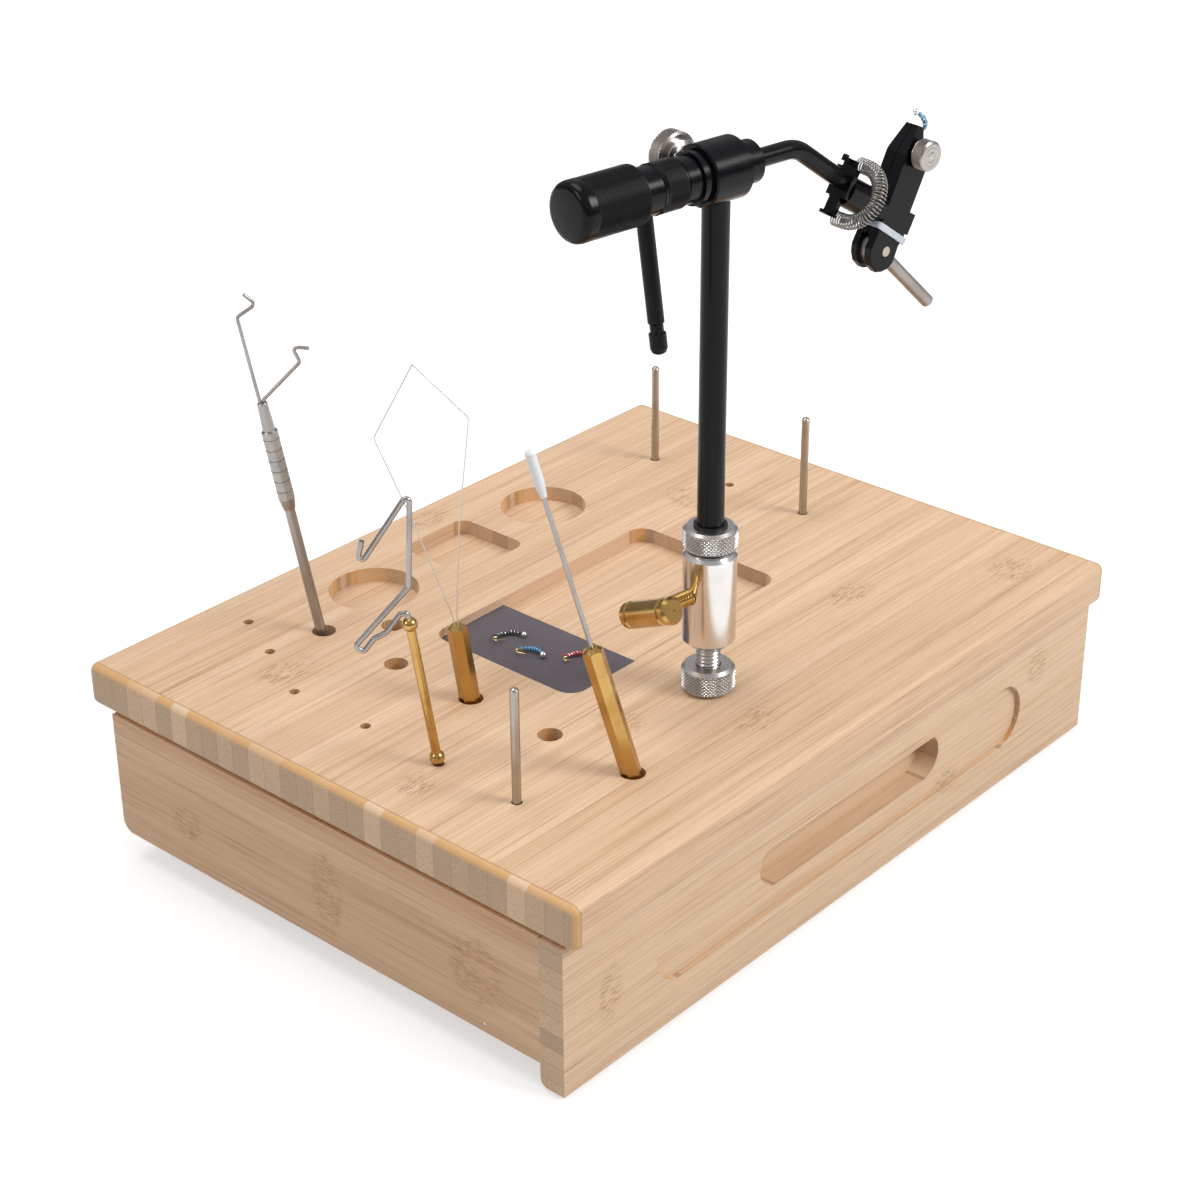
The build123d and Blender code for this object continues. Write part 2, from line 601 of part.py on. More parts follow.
def bent_arm():
    """Bent arm with the hub that carries the jaws."""
    fall = radians(ARM_FALL)
    bend_at = ARM_BEND * tan(fall / 2)
    direction = Vector(cos(fall), 0, -sin(fall))
    corner = Vector(ARM_CORNER_T, 0, 0)
    start = Vector(ARM_FROM, 0, 0)
    bend_start = corner - Vector(bend_at, 0, 0)
    bend_end = corner + direction * bend_at
    bar_at = Vector(BAR_CENTRE[0], 0, BAR_CENTRE[1])
    along = (bar_at - bend_end).dot(direction)
    arm_end = bend_end + direction * (along + BAR_THICK + 1.5)
    front = Vector(sin(radians(BAR_TURN)), 0, -cos(radians(BAR_TURN)))
    hub_start = bar_at + front * BAR_THICK
    hub_end = hub_start + front * HUB_LENGTH
    arm = rod(start, bend_start, ARM_RADIUS)
    elbow = TangentArc(bend_start, bend_end, tangent=(1, 0, 0))
    arm += sweep(Plane(origin=bend_start, z_dir=(1, 0, 0)) * Circle(ARM_RADIUS), path=elbow)
    arm += rod(bend_end, arm_end, ARM_RADIUS)
    hub = rod(hub_start, hub_end, HUB_RADIUS)
    hub -= outline_solid(0, -0.05, 20)
    hub -= outline_solid(0.3, -20, 0)
    hub -= pin_axis(SLOT_RADIUS, -20, 20) + band_ring(0.2)
    return arm + hub


def spring_bar(arm):
    """Cross plate on the arm with a lug at each end that points back along the arm."""
    plate = block(0, BAR_THICK, -BAR_HALF_WIDE, BAR_HALF_WIDE, -BAR_HALF, BAR_HALF)
    plate += block(0, BAR_THICK, -BAR_BOSS, BAR_BOSS, -3.2, 7.4)
    plate += block(-LUG_BACK, 0, -1.0, 1.0, BAR_HALF - 1.6, BAR_HALF)
    plate += block(-LUG_BACK, 0, -1.0, 1.0, -BAR_HALF, -BAR_HALF + 1.3)
    plate += block(-LUG_BACK, 1.0 - LUG_BACK, -1.0, 1.0, BAR_HALF, BAR_HALF + 0.7)
    return Pos(BAR_CENTRE[0], 0, BAR_CENTRE[1]) * Rot(0, 90 - BAR_TURN, 0) * plate - arm


def spring_line(distance):
    """Point and direction on the spring's centre line: straight, half circle towards the viewer, straight."""
    half_turn = pi * SPRING_BEND
    if distance < SPRING_STRAIGHT:
        return Vector(0, -distance, SPRING_BEND), Vector(0, -1, 0)
    if distance < SPRING_STRAIGHT + half_turn:
        angle = (distance - SPRING_STRAIGHT) / SPRING_BEND
        point = Vector(0, -SPRING_STRAIGHT - SPRING_BEND * sin(angle), SPRING_BEND * cos(angle))
        return point, Vector(0, -cos(angle), -sin(angle))
    rest = distance - SPRING_STRAIGHT - half_turn
    return Vector(0, -SPRING_STRAIGHT + rest, -SPRING_BEND), Vector(0, 1, 0)


def coil_point(share):
    """Point of the wound wire at a share of its turns."""
    length = 2 * SPRING_STRAIGHT + pi * SPRING_BEND
    point, tangent = spring_line(share * length)
    across = Vector(1, 0, 0)
    outward = tangent.cross(across)
    turn = 2 * pi * SPRING_TURNS * share
    return point + outward * (SPRING_COIL * cos(turn)) + across * (SPRING_COIL * sin(turn))


def coil_tangent(share):
    """Direction of the wound wire."""
    step = 1e-5
    low, high = max(share - step, 0), min(share + step, 1)
    return (coil_point(high) - coil_point(low)).normalized()


def biarc(start, start_dir, end, end_dir):
    """Two arcs that leave one point and reach another in given directions."""
    span = end - start
    both = start_dir + end_dir
    a = 2 * (1 - start_dir.dot(end_dir))
    b = 2 * span.dot(both)
    c = -span.dot(span)
    reach = (-b + (b * b - 4 * a * c) ** 0.5) / (2 * a)
    middle = (start + start_dir * reach + end - end_dir * reach) * 0.5
    first = Edge.make_tangent_arc(start, start_dir, middle)
    second = Edge.make_tangent_arc(end, end_dir * -1, middle)
    return first, second


def spring():
    """Wound wire along the centre line, and the least gap between its turns."""
    count = 2 * SPRING_TURNS
    shares = [i / count for i in range(count + 1)]
    edges = []
    for low, high in zip(shares, shares[1:]):
        edges += biarc(coil_point(low), coil_tangent(low), coil_point(high), coil_tangent(high))
    path = Wire(edges)
    start = Plane(origin=coil_point(0), z_dir=coil_tangent(0))
    solid = sweep(start * Circle(SPRING_WIRE), path=path)
    fine = 48
    points = [coil_point(i / (fine * SPRING_TURNS)) for i in range(fine * SPRING_TURNS + 1)]
    gap = min(
        (points[i] - points[j]).length
        for i in range(len(points))
        for j in range(i + fine // 2, min(i + 2 * fine, len(points)))
    )
    print(f"least gap between the spring's turns {gap - 2 * SPRING_WIRE:.3f} mm")
    front = BAR_THICK + SPRING_COIL + SPRING_WIRE + 0.1
    return Pos(BAR_CENTRE[0], 0, BAR_CENTRE[1]) * Rot(0, 90 - BAR_TURN, 0) * Pos(front, 0, 0) * solid


def band_ring(grow):
    """Band round both jaws; with grow, the space it needs."""
    inner = BAND_HALF + 0.1
    outer = inner + BAND_THICK
    wide = BAND_WIDTH / 2 + grow
    front, back = -PLATE - 0.05, PLATE + BAND_SLACK
    ring = block(-outer - grow, outer + grow, front - BAND_THICK - grow, back + BAND_THICK, -wide, wide)
    if not grow:
        ring = fillet(ring.edges().filter_by(Axis.Z), 1.2)
    ring -= block(-inner, inner, front, back, -5, 5)
    return Pos(BAND_CENTRE[0], 0, BAND_CENTRE[1]) * Rot(0, BAND_FALL, 0) * ring


def jaw_parts():
    nose = Pos(NOSE_FROM[0], -PLATE, NOSE_FROM[1]) * Rot(0, NOSE_TURN, 0) * Rot(-NOSE_SLOPE, 0, 0)
    nose = nose * block(-20, 20, -10, 0, 0, 30)
    slot = pin_axis(SLOT_RADIUS, -SLOT_HALF, SLOT_HALF)
    near = jaw_plate(-PLATE, -0.05) - nose - slot
    near -= pin_axis(PIN_RADIUS + RUNNING, -20, 20) + jaw_screw_axis(SCREW_RADIUS + 0.1, -20, 20)
    far = jaw_plate(0, PLATE) - mirror(nose, Plane.XZ) - slot
    far -= block(91.0, 96.0, -0.1, 2 * HOOK_DEEP + 0.02, -10.4, -8.8)
    far -= pin_axis(PIN_RADIUS, -20, 20) + jaw_screw_axis(SCREW_RADIUS + RUNNING, -20, SCREW_DEEP + 0.4)
    pin = pin_axis(PIN_RADIUS, -PLATE - 0.1, PLATE)
    screw = jaw_screw_axis(SCREW_RADIUS, -SCREW_HEAD_FROM - 0.3, SCREW_DEEP)
    head = Pos(JAW_SCREW_AT[0], 0, JAW_SCREW_AT[1]) * Rot(90, 0, 0)
    screw += head * lathe([
        (SCREW_HEAD_FROM, SCREW_HEAD - 0.6), (SCREW_HEAD_FROM + 0.6, SCREW_HEAD),
        (SCREW_HEAD_TO - 0.6, SCREW_HEAD), (SCREW_HEAD_TO, SCREW_HEAD - 0.5),
    ])
    band = band_ring(0) - outline_solid(0.08, -PLATE - 0.04, PLATE + 0.04)
    keeper_face = make_face(Polyline(*KEEPER_OUTLINE, close=True))
    keeper = Pos(0, -0.3, 0) * Rot(90, 0, 0) * extrude(keeper_face, 3.8)
    keeper -= outline_solid(0, -PLATE, -0.05) + band_ring(0.2)
    return near + keeper, far, pin, screw, band


def jaw_fly():
    """Fly held in the jaws: wire in the far jaw's groove, body curved up to the bead on the rotary axis."""
    turn = Rot(90, 0, 0)
    curve = ThreePointArc(FLY_LOW, (98.3, -5.0), FLY_HIGH)
    hold = Line((91.6, -9.4), FLY_LOW)
    wire = Pos(*(curve @ 0)) * Sphere(FLY_WIRE)
    for path in (curve, hold):
        wire += sweep(Plane(origin=path @ 0, z_dir=path % 0) * Circle(FLY_WIRE), path=path)
    body_path = curve.trim(0.3, 0.92)
    body = sweep(Plane(origin=body_path @ 0, z_dir=body_path % 0) * Circle(FLY_BODY), path=body_path)
    whole = wire + body + Pos(*FLY_HIGH, 0) * Sphere(FLY_BEAD)
    return Pos(0, HOOK_DEEP, 0) * turn * whole


def cam_lever():
    cam = pin_axis(CAM_RADIUS, -SLOT_HALF + 0.12, SLOT_HALF - 0.12)
    lever = lathe([
        (4.0, LEVER_NECK), (8.2, LEVER_NECK), (8.6, LEVER_RADIUS), (LEVER_LENGTH - 1.0, LEVER_RADIUS),
        (LEVER_LENGTH - 0.3, LEVER_RADIUS - 0.5), (LEVER_LENGTH, LEVER_RADIUS - 1.2),
    ])
    lever = Pos(PIN_AT[0], 0, PIN_AT[1]) * Rot(0, 90 + LEVER_FALL, 0) * lever
    hole = pin_axis(PIN_RADIUS + RUNNING, -20, 20)
    return cam + lever - hole


# ---------------------------------------------------------------- hand tools
def hex_handle(foot, top, turn, chamfered):
    """Brass hexagon handle with a turned foot and a chamfered top."""
    bar = Pos(0, 0, foot) * extrude(RegularPolygon(HEX_CORNER, 6, rotation=turn), top - foot)
    envelope = lathe([
        (foot, HEX_CORNER - chamfered), (foot + chamfered, HEX_CORNER), (top - 1.6, HEX_CORNER), (top, 1.9),
    ])
    return bar & envelope


def whip_finisher():
    bar = rod((0, 0, -9.6), (0, 0, 66.0), WHIP_ROD_RADIUS)
    rings = []
    for i in range(GRIP_GROOVES):
        z = 60.0 + i * GRIP_PITCH
        rings += [(z, GRIP_RADIUS), (z + 0.1, GRIP_GROOVE), (z + 0.7, GRIP_GROOVE), (z + 0.8, GRIP_RADIUS)]
    tip = [(83.9, GRIP_RADIUS), (84.5, 2.5), (84.5, 2.3), (95.0, 1.9), (95.4, 1.6)]
    grip = lathe([(52.5, 2.3), (56.8, GRIP_RADIUS)] + rings + tip)
    grip -= bore(50, 66.6, WHIP_ROD_RADIUS + RUNNING)
    upright = [(-0.6, 0, 90.0), (-1.0, 0, 128.8), (6.5, 0, 132.1), (3.2, 0, 136.6)]
    branch = [(0.6, 0, 90.0), (0.6, 0, 96.1), (16.6, 0, 107.5), (15.0, 0, 113.8), (20.8, 0, 111.9)]
    straight = bent_wire(upright, WHIP_WIRE_RADIUS, 1.6)
    side = bent_wire(branch, WHIP_WIRE_RADIUS, 1.3)
    wires = straight + side
    place = leaning(*WHIP)
    solids = {"whip_rod": bar, "whip_grip": grip - wires, "whip_hooks": wires}
    return {name: place * solid for name, solid in solids.items()}


def bent_finisher():
    handle = bore(LOW_BALL, HIGH_BALL, TUBE_RADIUS)
    hollow = bore(10.0, HIGH_BALL + 9, FINISHER_WIRE_RADIUS + RUNNING)
    handle += Pos(0, 0, LOW_BALL) * Sphere(BALL_RADIUS) + Pos(0, 0, HIGH_BALL) * Sphere(BALL_RADIUS)
    handle += bore(-5.0, LOW_BALL, 1.1)
    route = [
        (0, 0, 12.0), (0, 0, 59.6), (-2.4, 0, 59.6), (-8.3, 0, 53.6), (-12.7, 0, 52.0), (-17.0, 0, 47.6),
        (-19.2, 0, 50.4), (2.1, 0, 69.0), (8.6, 0, 103.6), (-14.3, 0, 77.3), (-9.9, 0, 88.5),
    ]
    wire = bent_wire(route, FINISHER_WIRE_RADIUS, 1.15)
    place = leaning(*FINISHER)
    return {"finisher_handle": place * (handle - hollow), "finisher_wire": place * wire}


def bobbin_threader():
    handle = hex_handle(-7.6, 30.6, 0, 1.6)
    top = (1.15, 0, 130.1)
    left = [(-0.7, 0, 24.0), (-0.7, 0, 34.0), (-8.05, 0, 71.7), (-16.1, 0, 105.8), top]
    right = [(0.7, 0, 24.0), (0.7, 0, 34.0), (7.5, 0, 70.2), (16.66, 0, 108.0), top]
    loop = bent_wire(left, THREADER_WIRE_RADIUS, 2.0) + bent_wire(right, THREADER_WIRE_RADIUS, 2.0)
    loop += Pos(*top) * Sphere(THREADER_WIRE_RADIUS * 1.5)
    place = leaning(*THREADER)
    return {"threader_handle": place * (handle - loop), "threader_loop": place * loop}


def dubbing_needle():
    handle = hex_handle(-6.0, 50.6, 20, 1.9)
    needle = lathe([(40.0, NEEDLE_RADIUS), (112.0, NEEDLE_RADIUS), (121.0, 0.15)])
    cap = lathe([
        (CAP_FROM, CAP_RADIUS - 0.7), (CAP_FROM + 5, CAP_RADIUS), (CAP_TO - 1, CAP_RADIUS), (CAP_TO, 1.1),
    ])
    cap -= bore(CAP_FROM - 1, 121.6, NEEDLE_RADIUS + RUNNING)
    place = leaning(*NEEDLE)
    solids = {"needle_handle": handle - needle, "needle": needle, "needle_cap": cap}
    return {name: place * solid for name, solid in solids.items()}


# ---------------------------------------------------------------- write every node
def all_parts():
    parts = {
        "top_board": top_board(),
        "side_panel_left": side_panel(-1),
        "side_panel_right": side_panel(1),
        "bottom_panel": bottom_panel(),
        "back_panel": back_panel(),
        "case_dowels": dowels(),
        "case_brads": brads(),
        "feet": feet(),
        "foot_screws": foot_screws(),
        "drawer_front": drawer_front(),
        "front_screws": front_screws(),
        "magnetic_mat": mat(),
    }
    parts.update(drawer_walls())
    for number, peg in enumerate(PEGS, start=1):
        parts[f"spool_peg_{number}"] = spool_peg(*peg)
    for name, sizes in LOOSE_FLIES.items():
        parts[name] = fly(*sizes)
    parts.update(vise_foot())
    parts.update(vise_column())
    parts.update(post_parts())
    parts.update(rotor_parts())
    arm = bent_arm()
    near, far, pin, screw, band = jaw_parts()
    carried = {
        "arm": arm,
        "spring_bar": spring_bar(arm),
        "material_spring": spring(),
        "jaw_near": near,
        "jaw_far": far,
        "cam_pin": pin,
        "cam_lever": cam_lever(),
        "jaw_screw": screw,
        "jaw_band": band,
        "fly_in_jaws": jaw_fly(),
    }
    parts.update({name: HEAD * solid for name, solid in carried.items()})
    parts.update(whip_finisher())
    parts.update(bent_finisher())
    parts.update(bobbin_threader())
    parts.update(dubbing_needle())
    return parts


for node, shape in all_parts().items():
    save(node, shape)
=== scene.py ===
"""Fly tying cabinet: finishes, fine shapes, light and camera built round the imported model."""

import logging
import math
from dataclasses import dataclass, field
from enum import Enum
from typing import Sequence

import bmesh
import bpy
from mathutils import Matrix, Vector


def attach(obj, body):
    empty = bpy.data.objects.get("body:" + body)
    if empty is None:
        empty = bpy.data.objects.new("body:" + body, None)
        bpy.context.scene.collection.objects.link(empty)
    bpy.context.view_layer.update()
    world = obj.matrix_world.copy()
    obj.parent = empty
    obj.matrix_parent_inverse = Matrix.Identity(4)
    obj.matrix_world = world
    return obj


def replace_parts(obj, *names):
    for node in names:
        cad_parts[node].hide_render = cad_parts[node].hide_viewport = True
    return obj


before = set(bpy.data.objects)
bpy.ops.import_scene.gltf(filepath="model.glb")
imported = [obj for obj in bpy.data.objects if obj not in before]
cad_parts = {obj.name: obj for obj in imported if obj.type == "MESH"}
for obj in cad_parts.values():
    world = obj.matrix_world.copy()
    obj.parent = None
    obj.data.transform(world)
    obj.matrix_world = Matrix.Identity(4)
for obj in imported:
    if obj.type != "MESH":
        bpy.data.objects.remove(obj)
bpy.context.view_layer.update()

LOG = logging.getLogger("fly_cabinet")
MM = 0.001
Colour = tuple[float, float, float]
Point = tuple[float, float, float]
Pair = tuple[float, float]
Socket = bpy.types.NodeSocket

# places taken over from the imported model, in millimetres
BOARD_TOP = 78.0
POST_X, POST_Y = -20.95, -63.1
HEAD_TURN = -8.387
AXIS_HEIGHT = 193.0


def on_board(x: float, y: float, height: float = 0.0) -> Matrix:
    """Frame that stands on the board.

    Args:
        x: place along the board, in millimetres.
        y: place across the board.
        height: height over the board's top.

    Returns:
        The frame's matrix, in millimetres.
    """
    return Matrix.Translation((x, y, BOARD_TOP + height))


COLUMN = on_board(POST_X, POST_Y) @ Matrix.Rotation(math.radians(HEAD_TURN), 4, "Z")
HEAD = COLUMN @ Matrix.Translation((0, 0, AXIS_HEIGHT))
ALONG_AXIS = Matrix.Rotation(math.radians(90), 4, "Y")


# ---------------------------------------------------------------- material recipes
class Axis(Enum):
    """Axis of a grain or of a stack of strips, as the index of a coordinate."""

    X = 0
    Y = 1
    Z = 2


class Wiring:
    """A node tree under construction, with short names for the sums that it is full of."""

    tree: bpy.types.NodeTree

    def feed(self, socket: Socket, value: object) -> None:
        """Link a socket into another, or write a plain value in it."""
        if isinstance(value, Socket):
            self.tree.links.new(value, socket)
        else:
            socket.default_value = value

    def node(
        self, kind: str, inputs: dict[object, object] | None = None, **settings: object,
    ) -> bpy.types.Node:
        """Add a node, set its properties and feed its inputs."""
        made = self.tree.nodes.new(kind)
        for key, value in settings.items():
            setattr(made, key, value)
        for key, value in (inputs or {}).items():
            self.feed(made.inputs[key], value)
        return made

    def math(self, operation: str, a: object, b: object = 0.0) -> Socket:
        """One step of arithmetic."""
        return self.node("ShaderNodeMath", {0: a, 1: b}, operation=operation).outputs[0]

    def plus(self, a: object, b: object) -> Socket:
        """a + b."""
        return self.math("ADD", a, b)

    def minus(self, a: object, b: object) -> Socket:
        """a - b."""
        return self.math("SUBTRACT", a, b)

    def times(self, a: object, b: object) -> Socket:
        """a x b."""
        return self.math("MULTIPLY", a, b)

    def over(self, a: object, b: object) -> Socket:
        """a / b."""
        return self.math("DIVIDE", a, b)

    def vector(self, x: object, y: object, z: object) -> Socket:
        """A vector from three numbers."""
        return self.node("ShaderNodeCombineXYZ", {0: x, 1: y, 2: z}).outputs[0]

    def split(self, vector: Socket) -> list[Socket]:
        """The three parts of a vector."""
        return list(self.node("ShaderNodeSeparateXYZ", {0: vector}).outputs)


class Shade(Wiring):
    """Node tree of one material, with a short method for each kind of node that the finishes use."""

    def __init__(self, name: str) -> None:
        """Start a material with one shader and its output."""
        self.material = bpy.data.materials.new(name)
        self.material.use_nodes = True
        self.tree = self.material.node_tree
        self.tree.nodes.clear()
        self.shader = self.tree.nodes.new("ShaderNodeBsdfPrincipled")
        out = self.tree.nodes.new("ShaderNodeOutputMaterial")
        self.tree.links.new(self.shader.outputs[0], out.inputs["Surface"])
        self.coords = self.tree.nodes.new("ShaderNodeTexCoord")

    def place(self, scale: Point = (1, 1, 1), turn: Point = (0, 0, 0), shift: Point = (0, 0, 0)) -> Socket:
        """Object coordinates in millimetres, turned and scaled.

        Args:
            scale: stretch of each axis after the turn.
            turn: turn in degrees about each axis.
            shift: added after the scale.

        Returns:
            The vector socket.
        """
        node = self.node("ShaderNodeMapping")
        node.inputs["Scale"].default_value = [value * 1000 for value in scale]
        node.inputs["Rotation"].default_value = [math.radians(value) for value in turn]
        node.inputs["Location"].default_value = shift
        self.feed(node.inputs["Vector"], self.coords.outputs["Object"])
        return node.outputs["Vector"]

    def noise(self, vector: object, scale: float = 1.0, detail: float = 2.0, rough: float = 0.5) -> Socket:
        """Soft noise between 0 and 1."""
        node = self.node("ShaderNodeTexNoise")
        self.feed(node.inputs["Vector"], vector)
        node.inputs["Scale"].default_value = scale
        node.inputs["Detail"].default_value = detail
        node.inputs["Roughness"].default_value = rough
        return node.outputs["Fac"]

    def chance(self, value: object) -> Socket:
        """A fixed random number for each value."""
        node = self.node("ShaderNodeTexWhiteNoise", noise_dimensions="1D")
        self.feed(node.inputs["W"], value)
        return node.outputs["Value"]

    def step(self, value: object, low: float, high: float) -> Socket:
        """Smooth step from 0 at low to 1 at high."""
        node = self.node("ShaderNodeMapRange", interpolation_type="SMOOTHSTEP")
        for socket, number in zip(node.inputs, (value, low, high, 0.0, 1.0)):
            self.feed(socket, number)
        return node.outputs[0]

    def blend(self, share: object, a: object, b: object, way: str = "MIX") -> Socket:
        """Colour between a and b."""
        node = self.node("ShaderNodeMix", data_type="RGBA", blend_type=way)
        self.feed(node.inputs[0], share)
        for socket, value in zip((node.inputs[6], node.inputs[7]), (a, b)):
            self.feed(socket, (*value, 1.0) if isinstance(value, tuple) else value)
        return node.outputs[2]

    def bump(self, height: Socket, strength: float, depth: float) -> None:
        """Relief on the surface.

        Args:
            height: socket with the relief.
            strength: share of the relief that shows.
            depth: depth in millimetres.
        """
        node = self.node("ShaderNodeBump")
        node.inputs["Strength"].default_value = strength
        node.inputs["Distance"].default_value = depth * MM
        self.feed(node.inputs["Height"], height)
        self.feed(self.shader.inputs["Normal"], node.outputs["Normal"])

    def finish(self, colour: object, rough: object, **constants: float) -> bpy.types.Material:
        """Write the shader's colour, roughness and constants.

        Args:
            colour: base colour or its socket.
            rough: roughness or its socket.
            constants: other inputs of the shader, with _ for a space.

        Returns:
            The material.
        """
        self.feed(self.shader.inputs["Base Color"], (*colour, 1.0) if isinstance(colour, tuple) else colour)
        self.feed(self.shader.inputs["Roughness"], rough)
        for name, value in constants.items():
            self.shader.inputs[name.replace("_", " ")].default_value = value
        return self.material


@dataclass(frozen=True)
class Knuckle:
    """A bamboo knuckle: a patch of short dark dashes on a face."""

    along: float
    across: float
    length: float
    width: float


def knuckles(*rows: tuple[float, float, float, float]) -> tuple[Knuckle, ...]:
    """Knuckles of a face, from rows of their four numbers."""
    return tuple(Knuckle(*row) for row in rows)


# fibre patterns of bamboo: stretch along the grain, fineness across it, detail
FIBRES = {
    "broad": (0.006, 0.35, 2.0), "middle": (0.014, 1.3, 3.0), "fine": (0.03, 4.2, 2.0),
    "long": (0.004, 0.75, 1.0), "short": (0.012, 1.7, 1.0),
    "dash": (0.22, 2.2, 3.0), "haze": (0.05, 0.5, 2.0), "dots": (0.01, 2.4, 2.0),
}
ONE_TONE, OTHER_TONE = 3.7, 91.3  # starts of the two random numbers of a strip


@dataclass(frozen=True)
class Bamboo:
    """Laminated bamboo under satin lacquer."""

    name: str
    grain: Axis
    strips: Axis
    pitch: float
    light: Colour
    dark: Colour
    end: Colour
    fibre: Colour = (0.30, 0.15, 0.065)
    knuckles: tuple[Knuckle, ...] = ()
    end_lines: float = 0.5
    strip_contrast: float = 0.30
    line_share: float = 0.50
    rim: Colour = (0.66, 0.385, 0.165)
    seed: float = 0.0

    def material(self) -> bpy.types.Material:
        """Build the material.

        Returns:
            The finished material.
        """
        shade = Shade(self.name)
        parts = shade.split(shade.place())
        along, across = parts[self.grain.value], parts[self.strips.value]
        third = parts[3 - self.grain.value - self.strips.value]
        normal = shade.node("ShaderNodeSeparateXYZ")
        shade.feed(normal.inputs[0], shade.coords.outputs["Normal"])
        facing = shade.math("ABSOLUTE", normal.outputs[self.grain.value])

        # strips, each with its own tone and its own stretch of the noise
        wander = shade.noise(shade.vector(shade.times(along, 0.01), 0.0, self.seed), 1.0, 1.0)
        place = shade.plus(shade.over(across, self.pitch), shade.times(wander, 0.12))
        strip = shade.math("FLOOR", place)
        share = shade.math("FRACT", place)
        tone = shade.chance(shade.plus(strip, ONE_TONE + self.seed))
        other = shade.chance(shade.plus(strip, OTHER_TONE + self.seed))
        slide = shade.times(tone, 60.0)

        def fibres(pattern: str) -> Socket:
            """Noise drawn out along the grain, its own in each strip."""
            stretch, fine, detail = FIBRES[pattern]
            vector = shade.vector(
                shade.plus(shade.times(along, stretch), slide),
                shade.times(across, fine), shade.times(third, fine),
            )
            return shade.noise(vector, 1.0, detail, 0.6)

        # long faces: tone, fibre lines and glue seams
        broad = fibres("broad")
        middle = fibres("middle")
        fine = fibres("fine")
        depth = shade.plus(shade.times(tone, self.strip_contrast), shade.times(broad, 0.8))
        colour = shade.blend(shade.step(depth, 0.25, 1.0), self.light, self.dark)
        colour = shade.blend(shade.times(shade.step(middle, 0.50, 0.72), 0.30), colour, self.dark)

        def ridge(source: Socket, width: float) -> Socket:
            """Thin line where a noise crosses its middle."""
            away = shade.math("ABSOLUTE", shade.minus(source, 0.5))
            return shade.minus(1.0, shade.step(away, 0.0, width))

        long_lines = shade.times(ridge(fibres("long"), 0.035), shade.step(broad, 0.30, 0.62))
        short_lines = shade.times(ridge(fibres("short"), 0.045), shade.step(middle, 0.34, 0.60))
        colour = shade.blend(shade.times(long_lines, self.line_share), colour, self.fibre)
        colour = shade.blend(shade.times(short_lines, self.line_share * 0.75), colour, self.fibre)
        colour = shade.blend(shade.times(shade.step(fine, 0.50, 0.68), 0.20), colour, self.fibre)
        seam = shade.step(shade.math("ABSOLUTE", shade.minus(share, 0.5)), 0.47, 0.5)
        colour = shade.blend(shade.times(seam, 0.14), colour, self.fibre)

        # knuckles: a darker haze with short dashes in it
        patch = None
        for knuckle in self.knuckles:
            u = shade.over(shade.minus(along, knuckle.along), knuckle.length)
            v = shade.over(shade.minus(across, knuckle.across), knuckle.width)
            reach = shade.plus(shade.times(u, u), shade.times(v, v))
            here = shade.minus(1.0, shade.step(reach, 0.25, 1.0))
            patch = here if patch is None else shade.math("MAXIMUM", patch, here)
        if patch is not None:
            dash = shade.step(fibres("dash"), 0.53, 0.60)
            haze = shade.step(fibres("haze"), 0.35, 0.7)
            colour = shade.blend(shade.times(shade.times(patch, haze), 0.38), colour, self.dark)
            colour = shade.blend(shade.times(shade.times(patch, dash), 0.72), colour, self.fibre)

        # end grain, and the warm rim where a rounded edge turns towards it
        dots = shade.step(fibres("dots"), 0.42, 0.66)
        pale = tuple(min(1.0, value * 1.35) for value in self.end)
        end = shade.blend(shade.step(other, 0.35, 1.0), self.end, pale)
        end = shade.blend(shade.times(dots, 0.42), end, tuple(value * 0.45 for value in self.end))
        end = shade.blend(shade.times(seam, self.end_lines), end, self.fibre)
        rim = shade.blend(shade.step(other, 0.55, 0.95), self.rim, self.light)
        edge = shade.minus(shade.step(facing, 0.04, 0.10), shade.step(facing, 0.16, 0.26))
        colour = shade.blend(shade.step(facing, 0.08, 0.24), colour, rim)
        colour = shade.blend(shade.times(edge, 0.45), colour, self.fibre)
        colour = shade.blend(shade.step(facing, 0.80, 0.97), colour, end)
        shade.bump(fine, 0.12, 0.05)
        rough = shade.plus(0.40, shade.times(middle, 0.16))
        return shade.finish(colour, rough, Specular_IOR_Level=0.35)


@dataclass(frozen=True)
class Metal:
    """Bare or anodised metal with fine tool marks."""

    name: str
    colour: Colour
    stain: Colour
    rough: float
    spread: float = 0.08
    marks: Point = (1.0, 1.0, 1.0)
    turn: Point = (0.0, 0.0, 0.0)
    mark_depth: float = 0.01
    metallic: float = 1.0
    specular: float = 0.5
    stain_scale: float = 0.12
    stain_share: float = 0.5

    def material(self) -> bpy.types.Material:
        """Build the material.

        Returns:
            The finished material.
        """
        shade = Shade(self.name)
        stains = shade.noise(shade.place(), self.stain_scale, 3.0)
        marks = shade.noise(shade.place(self.marks, self.turn), 1.0, 2.0, 0.6)
        share = shade.times(shade.step(stains, 0.42, 0.72), self.stain_share)
        colour = shade.blend(share, self.colour, self.stain)
        rough = shade.plus(self.rough, shade.times(marks, self.spread))
        shade.bump(marks, 0.25, self.mark_depth)
        return shade.finish(colour, rough, Metallic=self.metallic, Specular_IOR_Level=self.specular)


